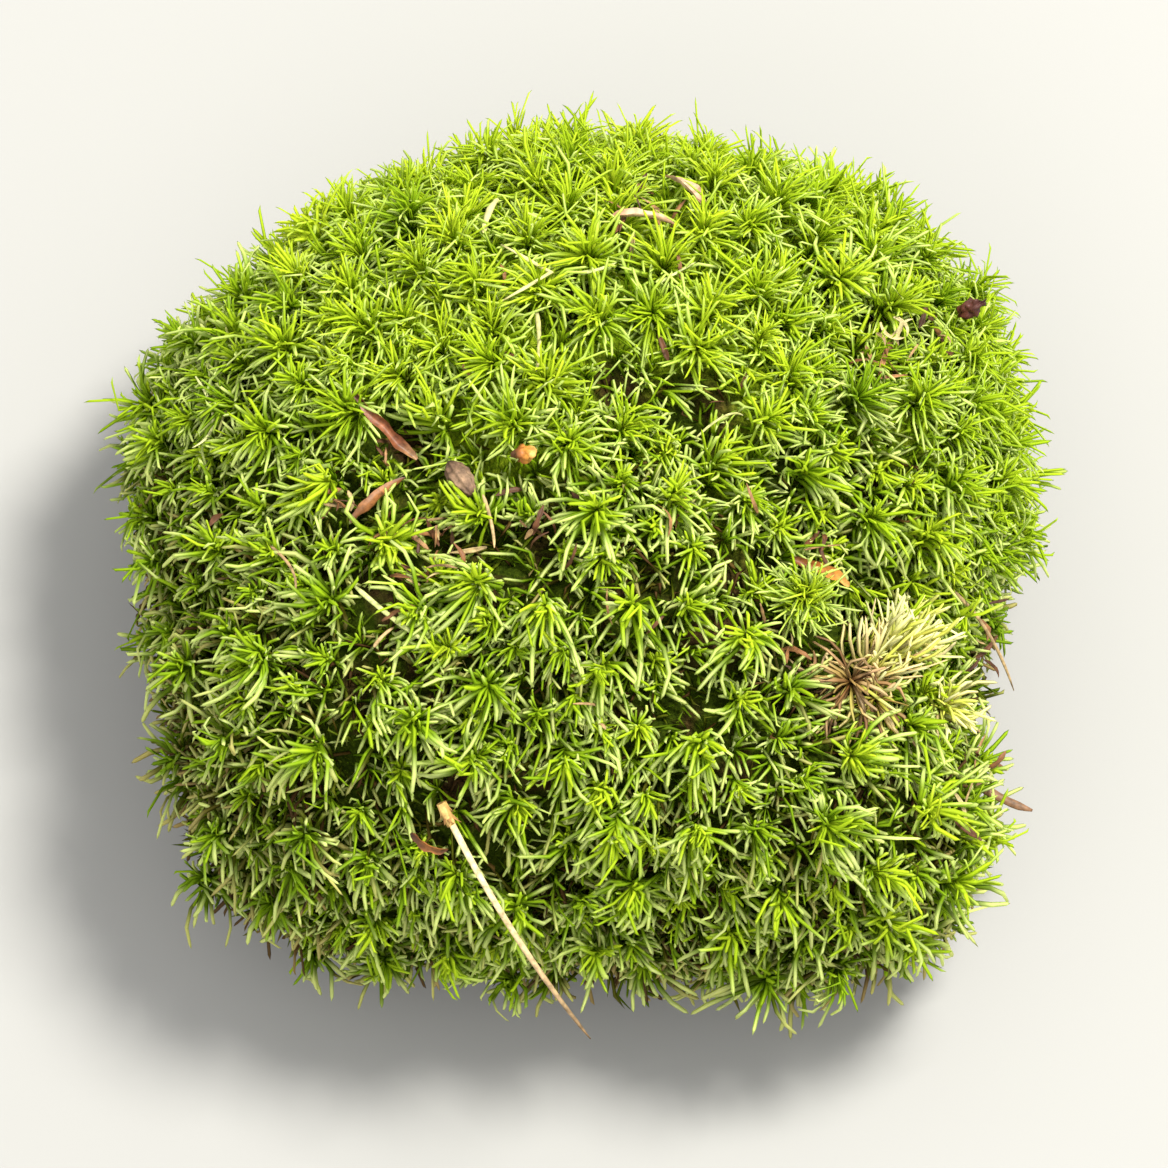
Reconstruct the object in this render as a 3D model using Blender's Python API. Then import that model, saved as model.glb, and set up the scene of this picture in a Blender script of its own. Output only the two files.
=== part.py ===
"""A clump of broom moss, lifted with the humus that it grew on and cut off flat below.

Metres, +Z up. The origin is in the middle of the flat cut, the front of the clump faces -Y.
The moss is one dome of pointed tufts, it overhangs the humus, and forest litter lies in its hollows.
"""

import math
import random

import bmesh
import bpy
from mathutils import Vector, noise
from mathutils.bvhtree import BVHTree

MM = 0.001
GAP = 0.3 * MM

# The cushion: reach from its middle in plan, and heights over the flat cut
MEAN_REACH = 47.0 * MM
CROWN_HEIGHT = 57.0 * MM
WIDEST_HEIGHT = 18.0 * MM
SKIRT_HEIGHT = 9.0 * MM
UNDERSIDE_HEIGHT = 12.3 * MM
DOME_FULLNESS = 2.3
SKIRT_TUCK = 0.10
UNDERSIDE_REACH = 0.80
SKIRT_SHARE = 0.16

# Lobes of the outline: direction in degrees from +X, extra reach, half width in degrees
LOBES = (
    (38, 6.5 * MM, 26),
    (92, 0.8 * MM, 20),
    (155, 4.2 * MM, 24),
    (223, 5.8 * MM, 22),
    (275, -1.5 * MM, 16),
    (314, 10.5 * MM, 19),
    (344, -3.0 * MM, 11),
)

# Mounds and hollows of the dome: place in plan, rise along the slope's normal, half width
RELIEF = (
    ((19, 33), 2.2, 9.0),
    ((39, 9), 2.0, 7.5),
    ((-30, -22), 1.6, 10.0),
    ((-22, 26), 1.4, 9.0),
    ((2, -12), 1.3, 8.0),
    ((20, -36), 1.5, 8.0),
    ((-18, 8), -3.2, 5.5),
    ((-20, -2), -3.4, 5.0),
    ((-11, -6), -2.6, 4.5),
    ((12, 5), -2.6, 5.0),
    ((24, -8), -2.6, 4.5),
    ((28, 17), -2.4, 4.5),
    ((29, -19), -7.0, 9.5),
    ((39, 22), -2.4, 4.0),
    ((-6, -30), -1.8, 4.5),
    ((10, -26), -1.8, 4.5),
    ((7, 29), -1.2, 5.0),
    ((-7, -39), -1.2, 5.0),
)

# Tufts of the moss: distance from one to the next, and how deep the clefts between them go
TUFT_SPACING = (4.0 * MM, 6.0 * MM)
TUFT_TRIES = 12000
TUFT_SEED = 31
TUFT_HEIGHT_SPREAD = 1.1 * MM
CLEFT_DEPTH = 3.0 * MM
SADDLE_DEPTH = 1.5 * MM
TIP_DROOP = 2.4 * MM
DROOP_STARTS = 0.45
UNDERSIDE_POINTS = 36

# The mat of humus
HUMUS_TOP = 12.0 * MM
HUMUS_REACH = 0.77
HUMUS_POINTS = 60
HUMUS_ROUGHNESS = 1.6 * MM
# Rings of its side from the flat cut up: height, and share of its reach
HUMUS_RINGS = (
    (0, 0.97),
    (1.4 * MM, 1.03),
    (4.0 * MM, 1.05),
    (6.8 * MM, 1.03),
    (9.4 * MM, 1.0),
    (HUMUS_TOP, 0.93),
)

# Litter: the two ends of each piece in plan, in millimetres
LITTER_ENDS = {
    "bark_scale": ((-22.9, 9.0), (-16.2, 2.0)),
    "bark_flake": ((-23.5, -4.6), (-17.8, 0.4)),
    "bud_scale": ((21.4, -7.6), (27.4, -9.6)),
    "tan_leaf_left": ((3.2, 29.3), (9.8, 28.0)),
    "tan_leaf_right": ((8.7, 35.2), (12.9, 30.4)),
    "short_straw": ((-8.7, 32.6), (-10.2, 27.4)),
    "front_scale": ((-17.4, -35.0), (-13.6, -36.4)),
    "seed_pod": ((-13.2, 1.4), (-10.8, -2.4)),
    "orange_bud": ((-5.9, 1.7), (-5.1, 1.7)),
    "red_bud": ((39.2, 22.3), (39.8, 22.3)),
    "pale_stub": ((29.8, 16.5), (31.0, 16.5)),
    "pine_needle": ((-14.4, -31.8), (-4.5, -43.0)),
}
LITTER_ROOM = 2.3 * MM

# How litter comes clear of the moss: the length of one move, and how many it may take
SETTLE_STEP = 0.1 * MM
SETTLE_STEPS = 90

# Scales, small leaves and the short straw: full width at the middle, rise of the arch, flatness
SCALE_WIDTHS = {
    "bark_scale": 2.6 * MM,
    "bark_flake": 3.0 * MM,
    "bud_scale": 2.6 * MM,
    "tan_leaf_left": 2.0 * MM,
    "tan_leaf_right": 1.9 * MM,
    "short_straw": 0.8 * MM,
    "front_scale": 2.0 * MM,
}
SCALE_ARCH = 0.6 * MM
BUD_SCALE_ARCH = 0.9 * MM
SCALE_FLATNESS = 0.3
STRAW_FLATNESS = 0.7

# The needle: width, its shares from the sheath to the tip, and where its tip stands free
NEEDLE_WIDTH = 1.2 * MM
NEEDLE_SHARES = (1.25, 1.45, 1.0, 1.0, 1.0, 0.95, 0.85, 0.65, 0.2)
NEEDLE_ARCH = 1.6 * MM
NEEDLE_FLATNESS = 0.6
NEEDLE_FREE_END = Vector((1.2, -52.6, 27.0)) * MM

# The bent straw: end, bend and end in plan, and its half width
STRAW_CORNERS = ((-8.1, 24.6), (-2.8, 20.4), (-8.1, 17.2))
STRAW_HALF_WIDTH = 0.35 * MM

# The seed pod: half widths from one end to the other
POD_HALF_WIDTHS = (0.3 * MM, 0.95 * MM, 1.25 * MM, 1.15 * MM, 0.8 * MM, 0.2 * MM)
POD_ARCH = 0.3 * MM
POD_FLATNESS = 0.75

# Buds that stand out of the moss: height, width, and the way each leans
BUDS = {
    "orange_bud": (3.6 * MM, 1.9 * MM, Vector((0.2, -0.4, 0))),
    "red_bud": (4.0 * MM, 2.6 * MM, Vector((0, -0.2, 0.2))),
}
BUD_SHARES = (0.45, 0.9, 1.0, 0.7, 0.15)
BUD_FLATNESS = 0.85

# The forked stub in millimetres: half sizes of its foot, where it forks, and where its arms end
STUB_HALF_SIZES = (0.9, 0.6)
STUB_FORK_HEIGHT = 1.6
STUB_HEIGHT = 4.2
STUB_SPREAD = 1.7

# The withered shoot: locks of leaves, and (reach, height) in millimetres of its rings of points
WITHERED_PLACE = (28.0, -18.4)
WITHERED_ROOM = 6.6 * MM
WITHERED_LOCKS = 13
WITHERED_SEED = 8
WITHERED_CROWN_HEIGHT = 4.6
WITHERED_ROOT_DEPTH = 0.6
WITHERED_HUB = (2.3, 4.1)
WITHERED_CLEFT = (2.9, 1.6)
WITHERED_FOOT = (1.8, 0.2)
WITHERED_TIP_REACH = (5.6, 7.6)
WITHERED_TIP_HEIGHT = 4.4

MIDDLE = Vector((0, 0, 20 * MM))


def clear_scene():
    for thing in list(bpy.data.objects):
        bpy.data.objects.remove(thing)


def make_material(name, colour, roughness):
    material = bpy.data.materials.new(name)
    material.use_nodes = True
    shader = material.node_tree.nodes["Principled BSDF"]
    shader.inputs["Base Color"].default_value = (*colour, 1)
    shader.inputs["Roughness"].default_value = roughness
    shader.inputs["Metallic"].default_value = 0
    return material


def moss_green():
    return make_material("moss_green", (0.23, 0.37, 0.035), 0.55)


def humus_brown():
    return make_material("humus_brown", (0.045, 0.026, 0.014), 0.95)


def withered_brown():
    return make_material("withered_brown", (0.45, 0.33, 0.15), 0.8)


def straw_tan():
    return make_material("straw_tan", (0.52, 0.38, 0.19), 0.6)


def bark_brown():
    return make_material("bark_brown", (0.26, 0.085, 0.035), 0.7)


def scale_orange():
    return make_material("scale_orange", (0.62, 0.25, 0.06), 0.6)


def seed_grey():
    return make_material("seed_grey", (0.30, 0.24, 0.22), 0.7)


def finish_object(name, mesh_maker, material):
    """Turns a bmesh into a named object with its faces out and its round sides smooth."""
    bmesh.ops.recalc_face_normals(mesh_maker, faces=mesh_maker.faces)
    mesh = bpy.data.meshes.new(name)
    mesh_maker.to_mesh(mesh)
    mesh_maker.free()
    mesh.shade_smooth()
    mesh.materials.append(material)
    thing = bpy.data.objects.new(name, mesh)
    bpy.context.scene.collection.objects.link(thing)
    return thing


def outline_reach(angle):
    """How far the cushion reaches from its middle in a direction of the plan."""
    reach = MEAN_REACH
    for lobe_angle, extra, half_width in LOBES:
        turn = (math.degrees(angle) - lobe_angle + 180) % 360 - 180
        reach += extra * math.exp(-((turn / half_width) ** 2))
    return reach


def relief_at(x, y):
    rise = 0
    for (place_x, place_y), height, half_width in RELIEF:
        distance = math.hypot(x / MM - place_x, y / MM - place_y)
        rise += height * MM * math.exp(-((distance / half_width) ** 2))
    return rise


def cushion_skin(descent, angle):
    """A point of the cushion's skin and its outward direction.

    The descent runs from 0 at the crown to 1 at the widest place, and on to the skirt's lower edge.
    """
    reach = outline_reach(angle)
    if descent <= 1:
        lean = descent * math.pi / 2
        out = math.sin(lean) ** (2 / DOME_FULLNESS)
        up = math.cos(lean) ** (2 / DOME_FULLNESS) if descent < 1 else 0
        height = WIDEST_HEIGHT + (CROWN_HEIGHT - WIDEST_HEIGHT) * up
    else:
        share = (descent - 1) / SKIRT_SHARE
        out = 1 - SKIRT_TUCK * share**2
        height = WIDEST_HEIGHT - (WIDEST_HEIGHT - SKIRT_HEIGHT) * share
    point = Vector((reach * out * math.cos(angle), reach * out * math.sin(angle), height))
    outward = (point - MIDDLE).normalized()
    return point + outward * relief_at(point.x, point.y), outward


def skin_under(x, y):
    """The point of the skin over a place of the plan in millimetres."""
    angle = math.atan2(y, x)
    out = math.hypot(x, y) * MM / outline_reach(angle)
    lean = math.asin(min(out, 1) ** (DOME_FULLNESS / 2))
    return cushion_skin(lean / (math.pi / 2), angle)[0]


def litter_lines():
    """The stretches of the skin that tufts leave free for litter, each with its room."""
    lines = []
    for start, end in LITTER_ENDS.values():
        lines.append((skin_under(*start), skin_under(*end), LITTER_ROOM))
    pocket = skin_under(*WITHERED_PLACE)
    lines.append((pocket, pocket + Vector((MM, 0, 0)), WITHERED_ROOM))
    return lines


def distance_to_line(point, start, end):
    along = end - start
    share = (point - start).dot(along) / along.length_squared
    return (point - start - along * min(max(share, 0), 1)).length


def tuft_places():
    """Throws tufts at the skin, and keeps each one that has room."""
    chance = random.Random(TUFT_SEED)
    lines = litter_lines()
    tufts = []
    for _ in range(TUFT_TRIES):
        descent = math.sqrt(chance.random()) * (1 + SKIRT_SHARE)
        angle = chance.random() * math.tau
        spacing = chance.uniform(*TUFT_SPACING)
        spread = chance.uniform(-1, 1) * TUFT_HEIGHT_SPREAD
        point, outward = cushion_skin(descent, angle)
        if any(distance_to_line(point, start, end) < room for start, end, room in lines):
            continue
        if all((point - other[0]).length >= spacing for other in tufts):
            tufts.append((point, outward, descent, spread))
    return tufts


def add_tuft_peaks(cushion, bearings, tufts):
    """One point for each tuft's tip, which hangs lower the further down the slope it grows."""
    for point, outward, descent, spread in tufts:
        droop = TIP_DROOP * max(0, descent - DROOP_STARTS)
        tip = point + outward * spread - Vector((0, 0, droop))
        vertex = cushion.verts.new((point - MIDDLE).normalized())
        bearings[vertex] = (tip, outward)


def add_underside(cushion, bearings):
    """The flat underside, a ring inside the skirt and a point in its middle."""
    dip = math.radians(-26)
    for step in range(UNDERSIDE_POINTS):
        angle = math.tau * step / UNDERSIDE_POINTS
        reach = outline_reach(angle) * UNDERSIDE_REACH
        ring_point = Vector((reach * math.cos(angle), reach * math.sin(angle), UNDERSIDE_HEIGHT))
        level = math.cos(dip)
        bearing = Vector((level * math.cos(angle), level * math.sin(angle), math.sin(dip)))
        bearings[cushion.verts.new(bearing)] = (ring_point, None)
    bottom = cushion.verts.new((0, 0, -1))
    bearings[bottom] = (Vector((0, 0, UNDERSIDE_HEIGHT)), None)


def sink_clefts(cushion, places, outwards):
    """Splits each face between tufts in six, and sinks its middle and its edges' middles."""
    saddles = {}
    for face in list(cushion.faces):
        corners = list(face.verts)
        if any(outwards[corner] is None for corner in corners):
            continue
        outward = sum((outwards[corner] for corner in corners), Vector()).normalized()
        middle = sum((places[corner] for corner in corners), Vector()) / 3
        centre = cushion.verts.new(middle - outward * CLEFT_DEPTH)
        rim = []
        for start, end in zip(corners, corners[1:] + corners[:1]):
            key = frozenset((start, end))
            if key not in saddles:
                normal = (outwards[start] + outwards[end]).normalized()
                place = (places[start] + places[end]) / 2 - normal * SADDLE_DEPTH
                saddles[key] = cushion.verts.new(place)
            rim += [start, saddles[key]]
        cushion.faces.remove(face)
        for first, second in zip(rim, rim[1:] + rim[:1]):
            cushion.faces.new((first, second, centre))
    return saddles


def join_border(cushion, saddles):
    """Splits the plain faces that meet a saddle, so that the cushion stays closed."""
    for face in list(cushion.faces):
        corners = list(face.verts)
        rim = []
        for start, end in zip(corners, corners[1:] + corners[:1]):
            rim.append(start)
            saddle = saddles.get(frozenset((start, end)))
            if saddle:
                rim.append(saddle)
        if len(rim) > 3:
            cushion.faces.remove(face)
            cushion.faces.new(rim)


def moss_cushion(material):
    cushion = bmesh.new()
    bearings = {}
    add_tuft_peaks(cushion, bearings, tuft_places())
    add_underside(cushion, bearings)
    bmesh.ops.convex_hull(cushion, input=list(cushion.verts))
    places = {vertex: place for vertex, (place, _) in bearings.items()}
    outwards = {vertex: outward for vertex, (_, outward) in bearings.items()}
    for vertex, place in places.items():
        vertex.co = place
    loose = [edge for edge in cushion.edges if not edge.link_faces]
    bmesh.ops.delete(cushion, geom=loose, context="EDGES")
    saddles = sink_clefts(cushion, places, outwards)
    join_border(cushion, saddles)
    spare = [edge for edge in cushion.edges if not edge.link_faces]
    bmesh.ops.delete(cushion, geom=spare, context="EDGES")
    bmesh.ops.triangulate(cushion, faces=cushion.faces)
    return finish_object("moss_cushion", cushion, material)


def humus_base(material):
    """A lumpy slab, flat below, that keeps inside the overhanging moss."""
    slab = bmesh.new()
    rings = []
    for height, share in HUMUS_RINGS:
        ring = []
        for step in range(HUMUS_POINTS):
            angle = math.tau * step / HUMUS_POINTS
            reach = outline_reach(angle) * HUMUS_REACH * share
            spot = Vector((math.cos(angle) * 4, math.sin(angle) * 4, height / MM * 0.35))
            reach += (noise.noise(spot) * 1.6 + noise.noise(spot * 3.1)) * HUMUS_ROUGHNESS
            ring.append(slab.verts.new((reach * math.cos(angle), reach * math.sin(angle), height)))
        rings.append(ring)
    for lower, upper in zip(rings, rings[1:]):
        for step in range(HUMUS_POINTS):
            after = (step + 1) % HUMUS_POINTS
            slab.faces.new((lower[step], lower[after], upper[after], upper[step]))
    slab.faces.new(rings[0])
    slab.faces.new(rings[-1])
    return finish_object("humus_base", slab, material)


def spindle(route, half_widths, half_depth_share, flat_direction, sides=6):
    """A closed body around a route, with one half width for each point of the route.

    Its section is an ellipse, wide across the flat direction and thin along it.
    """
    body = bmesh.new()
    rings = []
    for place, half_width in enumerate(half_widths):
        before = route[max(place - 1, 0)]
        behind = route[min(place + 1, len(route) - 1)]
        along = (behind - before).normalized()
        across = along.cross(flat_direction).normalized()
        thin = across.cross(along).normalized()
        ring = []
        for side in range(sides):
            turn = math.tau * side / sides
            offset = across * math.cos(turn) * half_width
            offset += thin * math.sin(turn) * half_width * half_depth_share
            ring.append(body.verts.new(route[place] + offset))
        rings.append(ring)
    for lower, upper in zip(rings, rings[1:]):
        for side in range(sides):
            after = (side + 1) % sides
            body.faces.new((lower[side], lower[after], upper[after], upper[side]))
    body.faces.new(rings[0])
    body.faces.new(rings[-1])
    return body


class MossSurface:
    """Finds the moss under a point of the plan, and lays pieces on it."""

    def __init__(self, cushion):
        self.tree = BVHTree.FromPolygons(
            [vertex.co.copy() for vertex in cushion.data.vertices],
            [tuple(face.vertices) for face in cushion.data.polygons],
        )
        self.points = [vertex.co.copy() for vertex in cushion.data.vertices]

    def under(self, x, y, lift=0.0):
        """The point of the dome over a place of the plan in millimetres, and its way out."""
        start = Vector((x * MM, y * MM, 2 * CROWN_HEIGHT))
        place = self.tree.ray_cast(start, Vector((0, 0, -1)))[0]
        outward = (place - MIDDLE).normalized()
        return place + outward * lift

    def touches(self, body):
        body_tree = BVHTree.FromBMesh(body)
        if body_tree.overlap(self.tree):
            return True
        if any(self.tree.find_nearest(vertex.co, GAP)[0] for vertex in body.verts):
            return True
        return any(body_tree.find_nearest(point, GAP)[0] for point in self.points)

    def settle(self, body):
        """Moves a body out of the moss along its slope until it just clears it."""
        middle = sum((vertex.co for vertex in body.verts), Vector()) / len(body.verts)
        outward = (middle - MIDDLE).normalized()
        for _ in range(SETTLE_STEPS):
            if not self.touches(body):
                return
            bmesh.ops.translate(body, verts=body.verts, vec=outward * SETTLE_STEP)


def route_between(start, end, points, arch=0.0):
    """Points from start to end, which arch away from the middle of the clump."""
    route = []
    for step in range(points):
        share = step / (points - 1)
        place = start.lerp(end, share)
        outward = (place - MIDDLE).normalized()
        route.append(place + outward * arch * 4 * share * (1 - share))
    return route


def leaf_widths(points, widest, end_width):
    """Half widths that swell in the middle, as on a scale or a small leaf."""
    widths = []
    for step in range(points):
        share = step / (points - 1)
        widths.append(end_width + (widest - end_width) * math.sin(math.pi * share))
    return widths


def lay_scale(moss, name, material, arch=SCALE_ARCH, flatness=SCALE_FLATNESS, points=6):
    """A thin pointed scale or straw between its two places in plan, laid on the moss."""
    first, last = (moss.under(*place) for place in LITTER_ENDS[name])
    route = route_between(first, last, points, arch)
    outward = ((first + last) / 2 - MIDDLE).normalized()
    width = SCALE_WIDTHS[name]
    widths = leaf_widths(points, width / 2, width * 0.12)
    body = spindle(route, widths, flatness, outward)
    moss.settle(body)
    return finish_object(name, body, material)


def pine_needle(moss, material):
    """Half round needle with a thicker sheath, caught on the front slope, its far end free."""
    start = moss.under(*LITTER_ENDS["pine_needle"][0])
    route = route_between(start, NEEDLE_FREE_END, len(NEEDLE_SHARES), NEEDLE_ARCH)
    widths = [NEEDLE_WIDTH / 2 * share for share in NEEDLE_SHARES]
    body = spindle(route, widths, NEEDLE_FLATNESS, Vector((0, -0.6, 0.8)))
    moss.settle(body)
    return finish_object("pine_needle", body, material)


def bent_straw(moss, material):
    """A pale straw whose two arms meet in a sharp bend."""
    first, bend, last = (moss.under(*corner) for corner in STRAW_CORNERS)
    route = [first, first.lerp(bend, 0.5), bend, bend.lerp(last, 0.5), last]
    half = STRAW_HALF_WIDTH
    widths = [half * 0.5, half, half * 1.1, half, half * 0.4]
    body = spindle(route, widths, STRAW_FLATNESS, bend - MIDDLE)
    moss.settle(body)
    return finish_object("bent_straw", body, material)


def seed_pod(moss, material):
    """A small ribbed pod, fatter at one end."""
    start, end = (moss.under(*place) for place in LITTER_ENDS["seed_pod"])
    route = route_between(start, end, len(POD_HALF_WIDTHS), POD_ARCH)
    body = spindle(route, POD_HALF_WIDTHS, POD_FLATNESS, start - MIDDLE, sides=8)
    moss.settle(body)
    return finish_object("seed_pod", body, material)


def standing_bud(moss, name, material):
    """A bud that stands out of the moss, narrow at both ends."""
    height, width, lean = BUDS[name]
    foot = moss.under(*LITTER_ENDS[name][0])
    outward = (foot - MIDDLE).normalized()
    tip = foot + (outward + lean).normalized() * height
    route = [foot.lerp(tip, step / 4) for step in range(5)]
    widths = [share * width / 2 for share in BUD_SHARES]
    body = spindle(route, widths, BUD_FLATNESS, Vector((0.3, -1, 0.2)))
    moss.settle(body)
    return finish_object(name, body, material)


def pale_stub(moss, material):
    """A forked stub: two short arms on one foot."""
    foot = moss.under(*LITTER_ENDS["pale_stub"][0])
    outward = (foot - MIDDLE).normalized()
    side = outward.cross(Vector((0, 1, 0))).normalized()
    back = outward.cross(side)
    half_side, half_back = STUB_HALF_SIZES
    stub = bmesh.new()
    ring = []
    for corner in range(6):
        turn = math.tau * corner / 6
        offset = side * math.cos(turn) * half_side + back * math.sin(turn) * half_back
        ring.append(foot + offset * MM)
    low = [stub.verts.new(point) for point in ring]
    high = [stub.verts.new(point + outward * STUB_FORK_HEIGHT * MM) for point in ring]
    for corner in range(6):
        after = (corner + 1) % 6
        stub.faces.new((low[corner], low[after], high[after], high[corner]))
    stub.faces.new(low)
    stub.faces.new((high[1], high[2], high[4], high[5]))
    right = [high[0], high[1], high[5]]
    left = [high[3], high[4], high[2]]
    for arm, way in ((right, 1), (left, -1)):
        tip = stub.verts.new(foot + outward * STUB_HEIGHT * MM + side * way * STUB_SPREAD * MM)
        for first, second in ((arm[0], arm[1]), (arm[1], arm[2]), (arm[2], arm[0])):
            stub.faces.new((first, second, tip))
    moss.settle(stub)
    return finish_object("pale_stub", stub, material)


def withered_shoot(moss, material):
    """A dead rosette: a hub with pointed locks of leaves that spread and droop."""
    middle = moss.under(*WITHERED_PLACE)
    outward = (middle - MIDDLE).normalized()
    side = outward.cross(Vector((0, 1, 0))).normalized()
    back = outward.cross(side).normalized()
    chance = random.Random(WITHERED_SEED)
    locks = WITHERED_LOCKS
    shoot = bmesh.new()

    def place(turn, reach, height):
        level = side * math.cos(turn) + back * math.sin(turn)
        return shoot.verts.new(middle + level * reach * MM + outward * height * MM)

    crown = shoot.verts.new(middle + outward * WITHERED_CROWN_HEIGHT * MM)
    root = shoot.verts.new(middle - outward * WITHERED_ROOT_DEPTH * MM)
    hub = [place(math.tau * step / locks, *WITHERED_HUB) for step in range(locks)]
    cleft = [place(math.tau * (step + 0.5) / locks, *WITHERED_CLEFT) for step in range(locks)]
    foot = [place(math.tau * (step + 0.5) / locks, *WITHERED_FOOT) for step in range(locks)]
    tips = []
    for step in range(locks):
        reach = chance.uniform(*WITHERED_TIP_REACH)
        turn = math.tau * (step + chance.uniform(-0.2, 0.2)) / locks
        tips.append(place(turn, reach, WITHERED_TIP_HEIGHT))
    for step in range(locks):
        before = (step - 1) % locks
        after = (step + 1) % locks
        shoot.faces.new((crown, hub[step], hub[after]))
        shoot.faces.new((hub[step], cleft[step], hub[after]))
        shoot.faces.new((hub[step], tips[step], cleft[step]))
        shoot.faces.new((hub[step], cleft[before], tips[step]))
        shoot.faces.new((cleft[step], tips[step], foot[step]))
        shoot.faces.new((tips[step], cleft[before], foot[before]))
        shoot.faces.new((tips[step], foot[before], foot[step]))
        shoot.faces.new((foot[step], foot[before], root))
    moss.settle(shoot)
    return finish_object("withered_shoot", shoot, material)


def lay_litter(cushion):
    moss = MossSurface(cushion)
    tan = straw_tan()
    bark = bark_brown()
    orange = scale_orange()
    withered_shoot(moss, withered_brown())
    pine_needle(moss, tan)
    bent_straw(moss, tan)
    seed_pod(moss, seed_grey())
    pale_stub(moss, tan)
    lay_scale(moss, "bark_scale", bark)
    lay_scale(moss, "bark_flake", orange)
    lay_scale(moss, "bud_scale", orange, arch=BUD_SCALE_ARCH)
    lay_scale(moss, "tan_leaf_left", tan)
    lay_scale(moss, "tan_leaf_right", tan)
    lay_scale(moss, "short_straw", tan, flatness=STRAW_FLATNESS)
    lay_scale(moss, "front_scale", bark)
    standing_bud(moss, "orange_bud", orange)
    standing_bud(moss, "red_bud", bark)


def main():
    clear_scene()
    humus_base(humus_brown())
    cushion = moss_cushion(moss_green())
    lay_litter(cushion)


main()
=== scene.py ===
import math

import bmesh
import bpy
import numpy as np
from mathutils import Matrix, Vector, noise
from mathutils.bvhtree import BVHTree
from mathutils.kdtree import KDTree


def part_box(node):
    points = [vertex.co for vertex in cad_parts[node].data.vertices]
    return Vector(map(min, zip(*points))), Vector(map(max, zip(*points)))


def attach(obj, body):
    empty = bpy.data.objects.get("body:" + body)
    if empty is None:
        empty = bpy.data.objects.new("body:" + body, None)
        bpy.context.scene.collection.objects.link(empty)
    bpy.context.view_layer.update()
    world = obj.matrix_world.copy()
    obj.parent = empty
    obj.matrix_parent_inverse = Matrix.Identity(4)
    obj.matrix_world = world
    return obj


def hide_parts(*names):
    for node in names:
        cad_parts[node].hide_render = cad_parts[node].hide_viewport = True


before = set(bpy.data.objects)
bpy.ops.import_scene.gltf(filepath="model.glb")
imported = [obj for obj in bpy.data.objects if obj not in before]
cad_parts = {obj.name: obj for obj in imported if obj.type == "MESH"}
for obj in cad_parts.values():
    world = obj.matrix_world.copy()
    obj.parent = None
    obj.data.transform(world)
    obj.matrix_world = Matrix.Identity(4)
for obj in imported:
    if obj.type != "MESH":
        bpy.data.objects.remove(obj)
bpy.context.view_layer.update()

MM = 0.001
UP = np.array([0.0, 0.0, 1.0])
NO_QUADS = np.zeros((0, 4), int)
chance = np.random.default_rng(11)

# The photograph: how high the camera stands over the clump, how far off, and what it aims at
CAMERA_ELEVATION = 72.6
CAMERA_DISTANCE = 2.03
CAMERA_AIM = Vector((0.3, -4.0, 28.0)) * MM
FRAME_WIDTH = 124 * MM
SENSOR_WIDTH = 36.0

# Leaves: where their rings stand, the width along a leaf, and its depth against its width
LEAF_RINGS = {
    2: (0, 0.6, 1), 3: (0, 0.48, 0.90, 1), 4: (0, 0.34, 0.66, 0.93, 1),
    5: (0, 0.25, 0.49, 0.72, 0.94, 1),
}
LEAF_WIDTHS = ((0.0, 0.25, 0.5, 0.75, 0.94, 1.0), (0.62, 0.90, 1.0, 0.98, 0.76, 0.0))
LEAF_DEPTH = 0.5
MAP_HALF_STRIP = 0.0022

# Kinds of shoot: how far down its axis a leaf starts, its length and its width, in mm, and its
# angle to the axis at its start and end, in degrees. Each pair: the lowest leaf, the topmost leaf.
DROP, LENGTH, WIDTH, START, END = range(5)
OPEN_SHOOT = (3.9, 1.4), (6.2, 2.8), (0.47, 0.44), (42, 2), (130, 30)
DENSE_SHOOT = (4.8, 2.0), (6.1, 3.9), (0.36, 0.32), (20, 1), (134, 26)
OPEN_FILLER = (2.8, 1.2), (4.8, 3.4), (0.46, 0.38), (40, 8), (105, 30)
DENSE_FILLER = (3.4, 1.2), (5.8, 4.3), (0.35, 0.32), (22, 3), (118, 30)
OLD_LEAF = (0.0, 0.0), (3.8, 3.8), (0.40, 0.40), (40, 70), (85, 115)
BALL_SHOOT = (4.0, 2.4), (5.6, 4.6), (0.32, 0.27), (62, 4), (84, 8)
WITHERED_FAN = (3.0, 1.0), (8.0, 6.0), (0.54, 0.42), (28, 4), (64, 16)
WITHERED_PALE = (2.4, 1.2), (5.8, 4.0), (0.50, 0.38), (44, 6), (110, 24)
WITHERED_BROWN = (1.8, 0.8), (6.8, 4.6), (0.46, 0.34), (60, 20), (140, 80)

TUFT_VALENCE = 8
TUFTS_FROM = 9 * MM
NORMAL_REACH = 9 * MM
SHOOT_LEAVES, FILLER_LEAVES, BALL_LEAVES, OLD_LEAVES = 84, 22, 170, 9600
INNER_FROM = 0.55
FLANK_SINK = 1.8
CROWN_FROM = 41 * MM

# One shoot in the right hollow is a round ball of straight leaves
BALL_PLACE = (23.7, -12.6)
BALL_HEIGHT = 51.5
BALL_AXIS = (0.1, -0.25, 1.0)
BALL_ROOM = 3.6

# Hollows in the moss as (x, y, half width), in mm, and the height that they stay above. They are dark from
# their depth and from painted shade: the stems under them are coloured darker.
HOLLOWS = (
    (23.0, -18.0, 2.2), (-14.8, -5.7, 3.0), (-9.5, -7.5, 2.2), (-17.4, -13.0, 2.2),
    (-25.7, -1.7, 1.8), (-18.8, 5.0, 2.0), (24.0, -6.4, 1.8), (11.4, -23.3, 1.8), (11.4, 7.6, 2.1),
    (30.6, 19.4, 1.4), (38.0, 20.2, 1.2), (-3.9, -6.6, 1.8), (7.5, -11.4, 1.1), (2.5, -20.1, 1.1),
    (4.2, 10.9, 1.0), (21.9, 2.8, 1.2), (31.0, 2.6, 1.2), (-1.0, 20.3, 0.9), (27.9, 25.6, 1.0),
)
HOLLOWS_FROM = 30 * MM


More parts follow.
